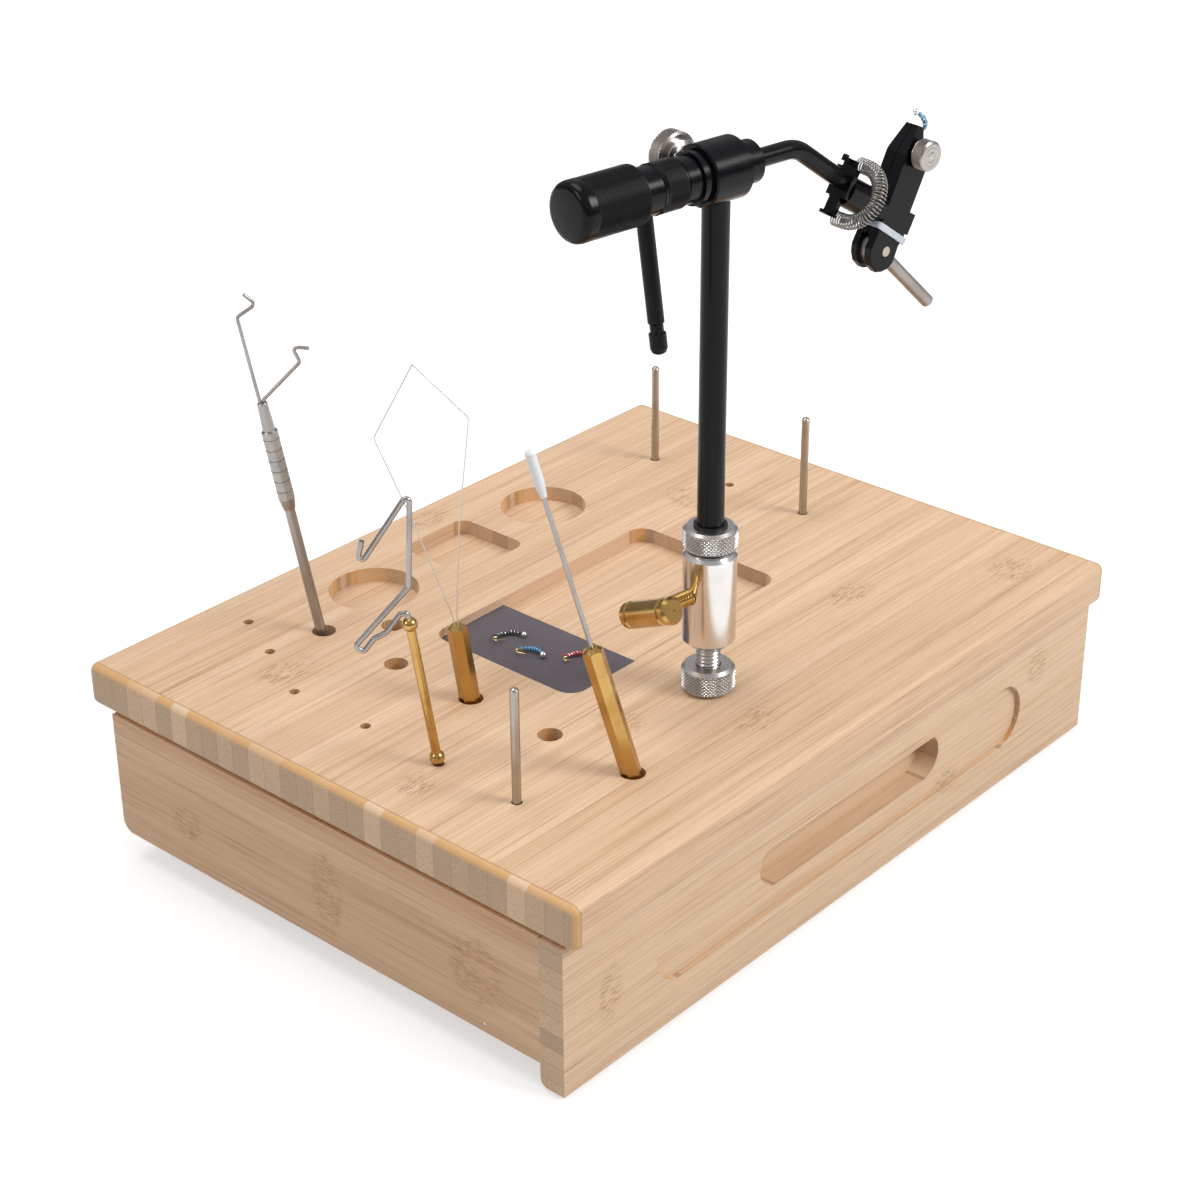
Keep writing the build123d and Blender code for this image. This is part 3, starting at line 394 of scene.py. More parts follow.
@dataclass(frozen=True)
class Moulded:
    """Rubber, plastic or wound thread: a soft colour with fine grain."""

    name: str
    colour: Colour
    speck: Colour
    rough: float
    grain: float = 3.0
    depth: float = 0.02
    transmission: float = 0.0
    specular: float = 0.4
    subsurface: float = 0.0

    def material(self) -> bpy.types.Material:
        """Build the material.

        Returns:
            The finished material.
        """
        shade = Shade(self.name)
        grain = shade.noise(shade.place(), self.grain, 3.0, 0.6)
        cloud = shade.noise(shade.place(), self.grain * 0.05, 2.0)
        specks = shade.step(shade.times(shade.plus(grain, cloud), 0.5), 0.35, 0.65)
        colour = shade.blend(specks, self.colour, self.speck)
        shade.bump(grain, 0.3, self.depth)
        rough = shade.plus(self.rough, shade.times(grain, 0.08))
        return shade.finish(
            colour, rough, Transmission_Weight=self.transmission, Specular_IOR_Level=self.specular,
            Subsurface_Weight=self.subsurface, Subsurface_Scale=0.002,
        )


class Finishes:
    """Every finish of the cabinet, made once and fetched by name."""

    def __init__(self) -> None:
        """Build the materials."""
        sand, shadow = (0.745, 0.525, 0.355), (0.625, 0.405, 0.245)
        panel = ((0.70, 0.475, 0.30), (0.56, 0.335, 0.19), (0.50, 0.34, 0.21))
        front = ((0.735, 0.53, 0.36), (0.64, 0.43, 0.26), (0.50, 0.345, 0.22))
        coating = {"metallic": 0.0, "mark_depth": 0.004}
        ground = {"mark_depth": 0.003}
        recipes = (
            Bamboo("board bamboo", Axis.X, Axis.Y, 8.2, sand, shadow, (0.53, 0.365, 0.235), knuckles=knuckles(
                (-112, 60, 16, 10), (-60, -55, 10, 12), (-28, -90, 12, 9), (70, -60, 14, 8),
                (95, 40, 12, 14), (10, 108, 14, 8), (-135, -30, 9, 8), (128, -95, 12, 12),
            )),
            Bamboo("case bamboo", Axis.Y, Axis.Z, 9.0, *panel, seed=11.0, knuckles=knuckles(
                (-4, 33, 9, 22), (-76, 34, 16, 17), (70, 30, 10, 9),
            )),
            Bamboo("case back bamboo", Axis.X, Axis.Z, 9.0, *panel, seed=23.0, knuckles=knuckles(
                (-60, 33, 12, 18), (84, 26, 10, 14),
            )),
            Bamboo("drawer bamboo", Axis.X, Axis.Z, 6.5, *front, end_lines=0.8, seed=37.0, knuckles=knuckles(
                (-133, 31, 7, 14), (62, 20, 9, 6), (120, 45, 8, 10),
            )),
            Metal(
                "polished aluminium", (0.74, 0.715, 0.70), (0.66, 0.62, 0.59), 0.15, 0.07, (0.2, 0.2, 6.0),
                **ground,
            ),
            Metal(
                "knurled aluminium", (0.56, 0.54, 0.525), (0.46, 0.43, 0.41), 0.26, 0.08, (1.5, 1.5, 3.0),
                **ground,
            ),
            Metal(
                "knurled nickel", (0.36, 0.33, 0.31), (0.27, 0.24, 0.22), 0.27, 0.08, (2.0, 2.0, 2.0),
                **ground,
            ),
            Metal("turned nickel", (0.44, 0.41, 0.385), (0.35, 0.32, 0.29), 0.26, 0.12, (5.0, 1.0, 5.0)),
            Metal(
                "black anodised", (0.0035, 0.0035, 0.0050), (0.006, 0.006, 0.008),
                0.17, specular=0.17, **coating,
            ),
            Metal(
                "knurled black", (0.004, 0.004, 0.0055), (0.007, 0.007, 0.009), 0.24, marks=(2.0, 2.0, 2.0),
                specular=0.26, **coating,
            ),
            Metal(
                "brass", (0.56, 0.345, 0.115), (0.38, 0.19, 0.045), 0.17, 0.13, (2.5, 2.5, 0.25),
                mark_depth=0.004,
            ),
            Metal("polished steel", (0.60, 0.57, 0.54), (0.46, 0.42, 0.38), 0.14, 0.10, (2.0, 2.0, 2.0)),
            Metal("brushed steel", (0.44, 0.39, 0.34), (0.33, 0.28, 0.23), 0.26, 0.16, (3.0, 3.0, 0.2)),
            Metal("tool steel", (0.38, 0.36, 0.345), (0.25, 0.23, 0.21), 0.24, 0.14, (2.5, 2.5, 0.6)),
            Metal("lever steel", (0.36, 0.325, 0.31), (0.27, 0.22, 0.19), 0.30, 0.14, (1.2, 4.0, 1.2)),
            Metal("spring steel", (0.30, 0.285, 0.27), (0.22, 0.205, 0.19), 0.26, 0.08, (3.0, 3.0, 3.0)),
            Metal("bead silver", (0.84, 0.84, 0.86), (0.66, 0.67, 0.70), 0.14, 0.06, (4.0, 4.0, 4.0)),
            Metal("hook gold", (0.70, 0.52, 0.24), (0.50, 0.33, 0.12), 0.22, 0.08, (4.0, 4.0, 4.0)),
            Metal("zinc", (0.62, 0.62, 0.61), (0.5, 0.5, 0.48), 0.34, 0.12, (2.0, 2.0, 2.0)),
            Moulded("black plastic", (0.016, 0.016, 0.017), (0.024, 0.024, 0.026), 0.42, 2.0),
            Moulded("rubber", (0.022, 0.022, 0.022), (0.034, 0.033, 0.032), 0.66, 2.0),
            Moulded(
                "mat rubber", (0.098, 0.083, 0.096), (0.112, 0.095, 0.108),
                0.50, 2.4, 0.03, specular=0.35,
            ),
            Moulded(
                "clear band", (0.70, 0.76, 0.86), (0.78, 0.83, 0.90),
                0.30, 0.8, transmission=0.28, subsurface=0.1,
            ),
            Moulded(
                "white cap", (0.84, 0.86, 0.88), (0.90, 0.91, 0.92),
                0.28, 0.8, transmission=0.10, subsurface=0.15,
            ),
            Moulded("blue thread", (0.10, 0.34, 0.58), (0.26, 0.52, 0.74), 0.45, 2.0, 0.05),
            Moulded("black thread", (0.012, 0.012, 0.014), (0.05, 0.05, 0.055), 0.45, 2.0, 0.05),
            Moulded("red thread", (0.42, 0.035, 0.04), (0.60, 0.10, 0.10), 0.45, 2.0, 0.05),
        )
        self._made = {recipe.name: recipe.material() for recipe in recipes}

    def __getitem__(self, name: str) -> bpy.types.Material:
        """Material by its name."""
        return self._made[name]

    def dress(self, names: Sequence[str], finish: str) -> None:
        """Give carried-over nodes a finish.

        Args:
            names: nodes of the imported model.
            finish: name of the finish.
        """
        for name in names:
            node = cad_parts[name]
            if not node.material_slots:
                node.data.materials.append(self[finish])
            for slot in node.material_slots:
                slot.material = self[finish]
            LOG.info("node %s wears %s", name, finish)


# ---------------------------------------------------------------- meshes
# angles past which an edge stays sharp, in degrees
SHARP = 32.0
KNURL_SHARP = 12.0
FINE_SHARP = 10.0
WIRE_SHARP = 80.0
# millimetres by which a fine piece clears its neighbour: across and along its axis
PROUD = 0.05
GAP = 0.1


def finish_mesh(mesh: bpy.types.Mesh, sharp: float = SHARP) -> None:
    """Merge doubles, turn faces outwards and shade smooth up to an angle.

    Args:
        mesh: mesh to finish.
        sharp: angle in degrees past which an edge stays sharp.
    """
    work = bmesh.new()
    work.from_mesh(mesh)
    bmesh.ops.remove_doubles(work, verts=work.verts, dist=1e-7)
    bmesh.ops.recalc_face_normals(work, faces=work.faces)
    for face in work.faces:
        face.smooth = True
    for edge in work.edges:
        edge.smooth = len(edge.link_faces) == 2 and edge.calc_face_angle(0.0) < math.radians(sharp)
    work.to_mesh(mesh)
    work.free()


class Former:
    """Collects turned shapes and tubes into one mesh, in millimetres."""

    def __init__(self) -> None:
        """Start with nothing."""
        self.points: list[Vector] = []
        self.faces: list[tuple[int, ...]] = []
        self.slots: list[int] = []

    def _skin(self, rings: Sequence[Sequence[Vector]], slot: int) -> None:
        """Join rings of points into a closed skin with flat ends."""
        first = len(self.points)
        count = len(rings[0])
        for ring in rings:
            self.points += ring
        for row in range(len(rings) - 1):
            low = first + row * count
            for i in range(count):
                j = (i + 1) % count
                self.faces.append((low + i, low + j, low + count + j, low + count + i))
                self.slots.append(slot)
        last = first + (len(rings) - 1) * count
        self.faces.append(tuple(first + i for i in reversed(range(count))))
        self.faces.append(tuple(last + i for i in range(count)))
        self.slots += [slot, slot]

    def lathe(
        self, profile: Sequence[Pair], segments: int = 48, slot: int = 0, turn: Matrix = Matrix(),
    ) -> "Former":
        """Add a solid of revolution.

        Args:
            profile: (height, radius) pairs from foot to top.
            segments: faces round the axis.
            slot: material slot.
            turn: frame of its Z axis, in millimetres.

        Returns:
            This former.
        """
        rings = []
        for height, radius in profile:
            angles = [math.tau * i / segments for i in range(segments)]
            ring = [Vector((radius * math.cos(a), radius * math.sin(a), height)) for a in angles]
            rings.append([turn @ point for point in ring])
        self._skin(rings, slot)
        return self

    def tube(self, path: Sequence[Point], radii: Sequence[float], sides: int = 8, slot: int = 0) -> "Former":
        """Add a tube along a path.

        Args:
            path: points of the centre line.
            radii: radius at each point.
            sides: faces round the tube.
            slot: material slot.

        Returns:
            This former.
        """
        line = [Vector(point) for point in path]
        side = Vector((0.31, 0.57, 0.76))
        rings = []
        for i, point in enumerate(line):
            ahead = (line[min(i + 1, len(line) - 1)] - line[max(i - 1, 0)]).normalized()
            side = (side - ahead * side.dot(ahead)).normalized()
            up = ahead.cross(side)
            angles = [math.tau * k / sides for k in range(sides)]
            rings.append([point + (side * math.cos(a) + up * math.sin(a)) * radii[i] for a in angles])
        self._skin(rings, slot)
        return self

    def make(self, name: str, place: Matrix, finishes: Sequence[bpy.types.Material]) -> bpy.types.Object:
        """Turn what was collected into an object at the origin.

        Args:
            name: name of the piece.
            place: frame of the piece, in millimetres.
            finishes: material of each slot.

        Returns:
            The object, with its place in its mesh.
        """
        mesh = bpy.data.meshes.new(name)
        mesh.from_pydata([tuple(point) for point in self.points], [], self.faces)
        for polygon, slot in zip(mesh.polygons, self.slots):
            polygon.material_index = slot
        for material in finishes:
            mesh.materials.append(material)
        mesh.transform(Matrix.Scale(MM, 4) @ place)
        finish_mesh(mesh)
        made = bpy.data.objects.new(name, mesh)
        bpy.context.scene.collection.objects.link(made)
        return made


def joined(name: str, pieces: Sequence[bpy.types.Object]) -> bpy.types.Object:
    """Join pieces into one mesh under a new name.

    Args:
        name: name of the joined piece.
        pieces: pieces at the origin; they are used up.

    Returns:
        The joined object.
    """
    work = bmesh.new()
    mesh = bpy.data.meshes.new(name)
    for piece in pieces:
        shift = []
        for material in piece.data.materials:
            if material.name not in mesh.materials:
                mesh.materials.append(material)
            shift.append(list(mesh.materials).index(material))
        start = len(work.faces)
        work.from_mesh(piece.data)
        work.faces.ensure_lookup_table()
        for face in work.faces[start:]:
            face.material_index = shift[face.material_index] if shift else 0
    work.to_mesh(mesh)
    work.free()
    for piece in pieces:
        old = piece.data
        bpy.data.objects.remove(piece)
        bpy.data.meshes.remove(old)
    made = bpy.data.objects.new(name, mesh)
    bpy.context.scene.collection.objects.link(made)
    return made


def bead_profile(radius: float, hole: float) -> list[Pair]:
    """Profile of a ball with a hole along its axis."""
    arc = [math.pi * i / 10 for i in range(2, 9)]
    return [(-radius, hole), *((-radius * math.cos(a), radius * math.sin(a)) for a in arc), (radius, hole)]


WIND_STEPS = 14  # points in one turn of a winding


def beside(centre: Vector, ahead: Vector, turn: float, radius: float) -> Vector:
    """Point that a winding reaches at one turn round a line in the XY plane.

    Args:
        centre: point of the line.
        ahead: direction of the line there.
        turn: angle of the winding, in radians.
        radius: distance from the line.

    Returns:
        The point.
    """
    out = Vector((-ahead.y, ahead.x, 0))
    return centre + (out * math.cos(turn) + Vector((0, 0, 1)) * math.sin(turn)) * radius


# ---------------------------------------------------------------- geometry node trees
class Weaver(Wiring):
    """Builds one geometry node tree with named inputs."""

    def __init__(self, name: str, inputs: Sequence[str]) -> None:
        """Start a tree.

        Args:
            name: name of the tree.
            inputs: names of its number inputs.
        """
        self.tree = bpy.data.node_groups.new(name, "GeometryNodeTree")
        for label in inputs:
            self.tree.interface.new_socket(label, in_out="INPUT", socket_type="NodeSocketFloat")
        self.tree.interface.new_socket("Finish", in_out="INPUT", socket_type="NodeSocketMaterial")
        self.tree.interface.new_socket("Geometry", in_out="OUTPUT", socket_type="NodeSocketGeometry")
        self.source = self.tree.nodes.new("NodeGroupInput")
        self.sink = self.tree.nodes.new("NodeGroupOutput")

    def __getitem__(self, label: str) -> Socket:
        """Socket of a named input."""
        return self.source.outputs[label]

    def choose(self, test: object, no: object, yes: object) -> Socket:
        """yes where the test is over a half, else no."""
        past = self.math("GREATER_THAN", test, 0.5)
        return self.plus(self.times(yes, past), self.times(no, self.minus(1.0, past)))

    def hold(self, value: object, low: object, high: object) -> Socket:
        """Value held between low and high."""
        return self.math("MINIMUM", self.math("MAXIMUM", value, low), high)

    def sheet(self, columns: object, rows: object) -> tuple[Socket, Socket, Socket]:
        """Flat grid with whole-numbered places.

        Args:
            columns: cells across.
            rows: cells up.

        Returns:
            The grid and the column and row number of each point.
        """
        points = {"Vertices X": self.plus(columns, 1.0), "Vertices Y": self.plus(rows, 1.0)}
        grid = self.node("GeometryNodeMeshGrid", {"Size X": columns, "Size Y": rows, **points})
        x, y, _ = self.split(self.node("GeometryNodeInputPosition").outputs[0])
        column = self.math("ROUND", self.plus(x, self.times(columns, 0.5)))
        row = self.math("ROUND", self.plus(y, self.times(rows, 0.5)))
        return grid.outputs["Mesh"], column, row

    def wrap(self, mesh: object, angle: object, radius: object, height: object) -> Socket:
        """Roll a sheet round the Z axis and close it."""
        x = self.times(radius, self.math("COSINE", angle))
        y = self.times(radius, self.math("SINE", angle))
        place = self.vector(x, y, height)
        moved = self.node("GeometryNodeSetPosition", {"Geometry": mesh, "Position": place}).outputs[0]
        return self.node("GeometryNodeMergeByDistance", {"Geometry": moved, "Distance": 1e-4}).outputs[0]

    def close(self, geometry: Socket) -> bpy.types.GeometryNodeTree:
        """End the tree in Realize Instances and Set Material."""
        real = self.node("GeometryNodeRealizeInstances", {"Geometry": geometry}).outputs[0]
        dressed = self.node("GeometryNodeSetMaterial", {"Geometry": real, "Material": self["Finish"]})
        self.tree.links.new(dressed.outputs[0], self.sink.inputs[0])
        return self.tree


def grown(
    name: str, tree: bpy.types.GeometryNodeTree, finish: bpy.types.Material, place: Matrix,
    sharp: float = SHARP, **sizes: float,
) -> bpy.types.Object:
    """Run a tree once and keep its result as a plain mesh at the origin.

    Args:
        name: name of the piece.
        tree: geometry node tree.
        finish: material of the piece.
        place: frame of the piece, in millimetres.
        sharp: angle in degrees past which an edge stays sharp.
        sizes: value of each named input, in millimetres.

    Returns:
        The piece.
    """
    holder = bpy.data.objects.new(name + "_holder", bpy.data.meshes.new(name + "_holder"))
    bpy.context.scene.collection.objects.link(holder)
    modifier = holder.modifiers.new("tree", "NODES")
    modifier.node_group = tree
    for item in tree.interface.items_tree:
        if item.in_out == "INPUT":
            value = finish if item.name == "Finish" else float(sizes[item.name.lower()])
            modifier[item.identifier] = value
    bpy.context.view_layer.update()
    seen = holder.evaluated_get(bpy.context.evaluated_depsgraph_get())
    mesh = bpy.data.meshes.new_from_object(seen)
    mesh.name = name
    holder.modifiers.remove(modifier)
    bpy.data.objects.remove(holder)
    mesh.materials.clear()
    mesh.materials.append(finish)
    for polygon in mesh.polygons:
        polygon.material_index = 0
    mesh.transform(Matrix.Scale(MM, 4) @ place)
    finish_mesh(mesh, sharp)
    made = bpy.data.objects.new(name, mesh)
    bpy.context.scene.collection.objects.link(made)
    return made


def settle(rows: Sequence[tuple[bpy.types.Object, str, str]]) -> None:
    """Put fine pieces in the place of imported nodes.

    Args:
        rows: for each piece, its body and the node that it stands for.
    """
    for piece, body, node in rows:
        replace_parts(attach(piece, body), node)
        LOG.info("%s for node %s, %d faces", piece.name, node, len(piece.data.polygons))


def knurl_tree() -> bpy.types.GeometryNodeTree:
    """Knurled wheel about Z: flat faces, chamfers and a band of small pyramids.

    Returns:
        The tree.
    """
    w = Weaver("knurled wheel", ("Inner", "Outer", "Bottom", "Top", "Chamfer", "Teeth", "Rows", "Depth"))
    columns = w.times(w["Teeth"], 2.0)
    rows = w.plus(w["Rows"], 4.0)
    mesh, column, row = w.sheet(columns, rows)
    from_end = w.math("MINIMUM", row, w.minus(rows, row))
    pit = w.math("FLOORED_MODULO", w.plus(column, row), 2.0)
    is_face = w.math("LESS_THAN", from_end, 0.5)
    is_end = w.math("LESS_THAN", from_end, 1.5)
    is_edge = w.math("LESS_THAN", from_end, 2.5)
    band = w.minus(w["Outer"], w.times(w["Depth"], w.choose(is_edge, pit, 0.7)))
    radius = w.choose(is_end, band, w.minus(w["Outer"], w.plus(w["Chamfer"], w["Depth"])))
    radius = w.choose(is_face, radius, w["Inner"])
    low = w.plus(w["Bottom"], w["Chamfer"])
    run = w.minus(w.minus(w["Top"], w["Chamfer"]), low)
    climb = w.over(w.minus(row, 2.0), w["Rows"])
    height = w.plus(low, w.times(run, climb))
    upper = w.math("GREATER_THAN", row, w.times(rows, 0.5))
    height = w.choose(is_end, height, w.choose(upper, w["Bottom"], w["Top"]))
    angle = w.times(w.over(column, columns), math.tau)
    rolled = w.wrap(mesh, angle, radius, height)
    facets = w.node("GeometryNodeTriangulate", {0: rolled}, quad_method="SHORTEST_DIAGONAL")
    return w.close(facets.outputs[0])


def thread_tree() -> bpy.types.GeometryNodeTree:
    """Threaded rod about Z with flat ends.

    Returns:
        The tree.
    """
    w = Weaver("threaded rod", ("Radius", "Depth", "Pitch", "Bottom", "Top", "Columns", "Rows"))
    rows = w.plus(w["Rows"], 2.0)
    mesh, column, row = w.sheet(w["Columns"], rows)
    inner = w.minus(row, 1.0)
    climb = w.hold(w.over(inner, w["Rows"]), 0.0, 1.0)
    height = w.plus(w["Bottom"], w.times(w.minus(w["Top"], w["Bottom"]), climb))
    turn = w.over(column, w["Columns"])
    phase = w.minus(w.over(height, w["Pitch"]), turn)
    saw = w.math("ABSOLUTE", w.minus(w.times(w.math("FLOORED_MODULO", phase, 1.0), 2.0), 1.0))
    radius = w.minus(w["Radius"], w.times(w["Depth"], saw))
    from_end = w.math("MINIMUM", row, w.minus(rows, row))
    radius = w.choose(w.math("LESS_THAN", from_end, 0.5), radius, 0.0)
    return w.close(w.wrap(mesh, w.times(turn, math.tau), radius, height))


def coil_tree() -> bpy.types.GeometryNodeTree:
    """Wire wound round a line that runs straight, turns half a circle and runs straight again.

    Returns:
        The tree.
    """
    w = Weaver("wound spring", ("Turns", "Coil", "Wire", "Bend", "Straight", "Steps"))
    count = w.plus(w.times(w["Turns"], w["Steps"]), 1.0)
    line = w.node("GeometryNodeMeshLine", {"Count": count, "Offset": (0.0, 0.0, 0.01)})
    share = w.over(w.node("GeometryNodeInputIndex").outputs[0], w.minus(count, 1.0))
    arc = w.times(w["Bend"], math.pi)
    length = w.plus(arc, w.times(w["Straight"], 2.0))
    run = w.minus(w.times(share, length), w["Straight"])
    angle = w.over(w.hold(run, 0.0, arc), w["Bend"])
    before = w.math("MINIMUM", run, 0.0)
    after = w.math("MAXIMUM", w.minus(run, arc), 0.0)
    sine, cosine = w.math("SINE", angle), w.math("COSINE", angle)
    turn = w.times(w.times(share, w["Turns"]), math.tau)
    out = w.times(w["Coil"], w.math("COSINE", turn))
    side = w.times(w["Coil"], w.math("SINE", turn))
    reach = w.plus(w["Bend"], out)
    y = w.minus(w.minus(after, before), w.plus(w["Straight"], w.times(reach, sine)))
    z = w.times(reach, cosine)
    place = w.vector(side, y, z)
    placed = w.node("GeometryNodeSetPosition", {"Geometry": line.outputs[0], "Position": place})
    curve = w.node("GeometryNodeMeshToCurve", {"Mesh": placed.outputs[0]})
    ring = w.node("GeometryNodeCurvePrimitiveCircle", {"Resolution": 8, "Radius": w["Wire"]}, mode="RADIUS")
    parts = {"Curve": curve.outputs[0], "Profile Curve": ring.outputs[0], "Fill Caps": True}
    return w.close(w.node("GeometryNodeCurveToMesh", parts).outputs[0])


# ---------------------------------------------------------------- sub-assemblies
@dataclass
class Cabinet:
    """Case, board, mat, feet and drawer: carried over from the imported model, each in its own bamboo."""

    finishes: Finishes
    board_grain: str = "board bamboo"
    side_grain: str = "case bamboo"
    back_grain: str = "case back bamboo"
    drawer_grain: str = "drawer bamboo"

    def dress(self) -> None:
        """Dress the case and the drawer."""
        give = self.finishes.dress
        give(("top_board",), self.board_grain)
        give(("side_panel_left", "side_panel_right", "drawer_box_left", "drawer_box_right"), self.side_grain)
        hidden = ("bottom_panel", "back_panel", "drawer_box_back", "drawer_box_floor", "case_dowels")
        give(hidden, self.back_grain)
        give(("drawer_front", "drawer_box_front"), self.drawer_grain)
        give(("case_brads", "foot_screws", "front_screws"), "zinc")
        give(("feet",), "rubber")
        give(("magnetic_mat",), "mat rubber")
        give(("spool_peg_1", "spool_peg_2", "spool_peg_3"), "brushed steel")


@dataclass
class LooseFly:
    """A fly on its hook: body wound with a rib, bead at the eye, bend and point behind the tail."""

    node: str
    body: str
    tail: Pair
    eye: Pair
    arch: float
    bead: float
    thread: str
    rib: str
    finishes: Finishes
    mat_top: float = 74.5
    gape: float = 2.6
    wire: float = 0.24
    thickness: float = 0.82
    ribs: int = 7
    steps: int = 26

    def shank(self, share: float) -> Vector:
        """Point of the shank's arc, from the tail at 0 to the eye at 1."""
        run = math.dist(self.tail, self.eye)
        radius = (run * run / 4 + self.arch * self.arch) / (2 * self.arch)
        half = math.asin(run / 2 / radius)
        angle = -half + 2 * half * share
        rise = self.arch - radius + radius * math.cos(angle)
        return Vector((run / 2 + radius * math.sin(angle), rise, 0))

    def build(self) -> bpy.types.Object:
        """Build the fly and set it on the mat.

        Returns:
            The piece that stands for its node.
        """
        heading = math.atan2(self.eye[1] - self.tail[1], self.eye[0] - self.tail[0])
        lifted = Matrix.Translation((*self.tail, self.mat_top + self.bead + PROUD))
        place = lifted @ Matrix.Rotation(heading, 4, "Z")
        form = Former()
        line = [self.shank(i / self.steps) for i in range(self.steps + 1)]
        g = self.gape
        bend = []
        for i in range(10, 0, -1):
            a = math.pi * i / 10
            bend.append(Vector((-g / 2 * math.sin(a), -g / 2 + g / 2 * math.cos(a), 0)))
        point = [Vector((x, -g + rise, 0)) for x, rise in ((3.4, 0.5), (2.4, 0.33), (1.2, 0.1))]
        hook = point + bend + line
        form.tube(hook, [0.05, self.wire * 0.8] + [self.wire] * (len(hook) - 2), 8, 0)
        span = [self.shank(0.08 + 0.80 * i / self.steps) for i in range(self.steps + 1)]
        girth = []
        for i in range(self.steps + 1):
            swell = math.sin(math.pi * min(1.0, 0.12 + 0.75 * i / self.steps)) ** 0.7
            girth.append(self.thickness * (0.35 + 0.65 * swell))
        form.tube(span, girth, 12, 1)
        fine = self.ribs * WIND_STEPS
        wound = []
        for i in range(fine + 1):
            share = i / fine
            centre = self.shank(0.10 + 0.76 * share)
            ahead = (self.shank(0.12 + 0.76 * share) - centre).normalized()
            around = girth[round(share * self.steps)] + 0.04
            wound.append(beside(centre, ahead, math.tau * self.ribs * share, around))
        form.tube(wound, [0.13] * len(wound), 6, 2)
        for tilt in (-0.35, -0.1, 0.15, 0.4):
            start = self.shank(0.1)
            tip = start + Vector((-2.6, 1.0 + 2.0 * tilt, tilt))
            form.tube([start, (start + tip) / 2 + Vector((0, 0.2, 0)), tip], [0.09, 0.07, 0.02], 5, 1)
        eye = self.shank(1.0)
        form.lathe(bead_profile(self.bead, 0.35), 20, 3, Matrix.Translation(eye) @ ALONG_AXIS)
        wears = [self.finishes[name] for name in ("hook gold", self.thread, self.rib, "bead silver")]
        fly = form.make(self.node + "_wound", place, wears)
        settle(((fly, self.body, self.node),))
        return fly


@dataclass
class Column:
    """Vise foot, sleeve, nuts, clamp and post under the head."""

    finishes: Finishes
    nut_radius: float = 9.8
    nut_height: float = 10.0
    stud_radius: float = 4.5
    stud_from: float = -14.0
    stud_to: float = 23.0
    stud_pitch: float = 1.5
    stud_cut: float = 0.62
    sleeve_top: float = 56.4
    collar_top: float = 65.0
    bush_radius: float = 6.0
    teeth: int = 42
    knurl_rows: int = 12
    knurl_depth: float = 0.62
    clamp_radius: float = 3.0
    clamp_height: float = 40.0
    clamp_out: float = 27.4
    screw_pitch: float = 1.3
    screw_cut: float = 0.55

    def dress(self) -> None:
        """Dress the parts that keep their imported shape."""
        give = self.finishes.dress
        give(("vise_sleeve",), "polished aluminium")
        give(("board_insert",), "brass")
        give(("clamp_barrel",), "brass")
        give(("post_bush",), "black plastic")
        give(("post",), "black anodised")

    def build(self, knurl: bpy.types.GeometryNodeTree, thread: bpy.types.GeometryNodeTree) -> None:
        """Build the knurled nuts and the threads.

        Args:
            knurl: tree of a knurled wheel.
            thread: tree of a threaded rod.
        """
        silver, brass = self.finishes["knurled aluminium"], self.finishes["brass"]
        outer = self.nut_radius + PROUD
        nut = grown(
            "base_nut_knurled", knurl, silver, COLUMN, KNURL_SHARP,
            inner=self.stud_radius + PROUD, outer=outer, bottom=0.15, top=self.nut_height, chamfer=1.0,
            teeth=self.teeth, rows=self.knurl_rows, depth=self.knurl_depth,
        )
        collar = grown(
            "collar_nut_knurled", knurl, silver, COLUMN, KNURL_SHARP,
            inner=self.bush_radius + PROUD, outer=outer,
            bottom=self.sleeve_top + GAP, top=self.collar_top, chamfer=0.9,
            teeth=self.teeth, rows=self.knurl_rows - 2, depth=self.knurl_depth,
        )
        stud = grown(
            "base_stud_threaded", thread, silver, COLUMN,
            radius=self.stud_radius, depth=self.stud_cut, pitch=self.stud_pitch,
            bottom=self.stud_from, top=self.stud_to, columns=32, rows=198,
        )
        raised = Matrix.Translation((0, 0, self.clamp_height)) @ Matrix.Rotation(math.radians(-90), 4, "Y")
        screw = grown(
            "clamp_screw_threaded", thread, brass, COLUMN @ raised,
            radius=self.clamp_radius, depth=self.screw_cut, pitch=self.screw_pitch,
            bottom=self.bush_radius + GAP, top=self.clamp_out, columns=28, rows=132,
        )
        settle((
            (nut, "base_nut", "base_nut"), (collar, "collar_nut", "collar_nut"),
            (stud, "cabinet", "base_stud"), (screw, "clamp", "clamp_screw"),
        ))


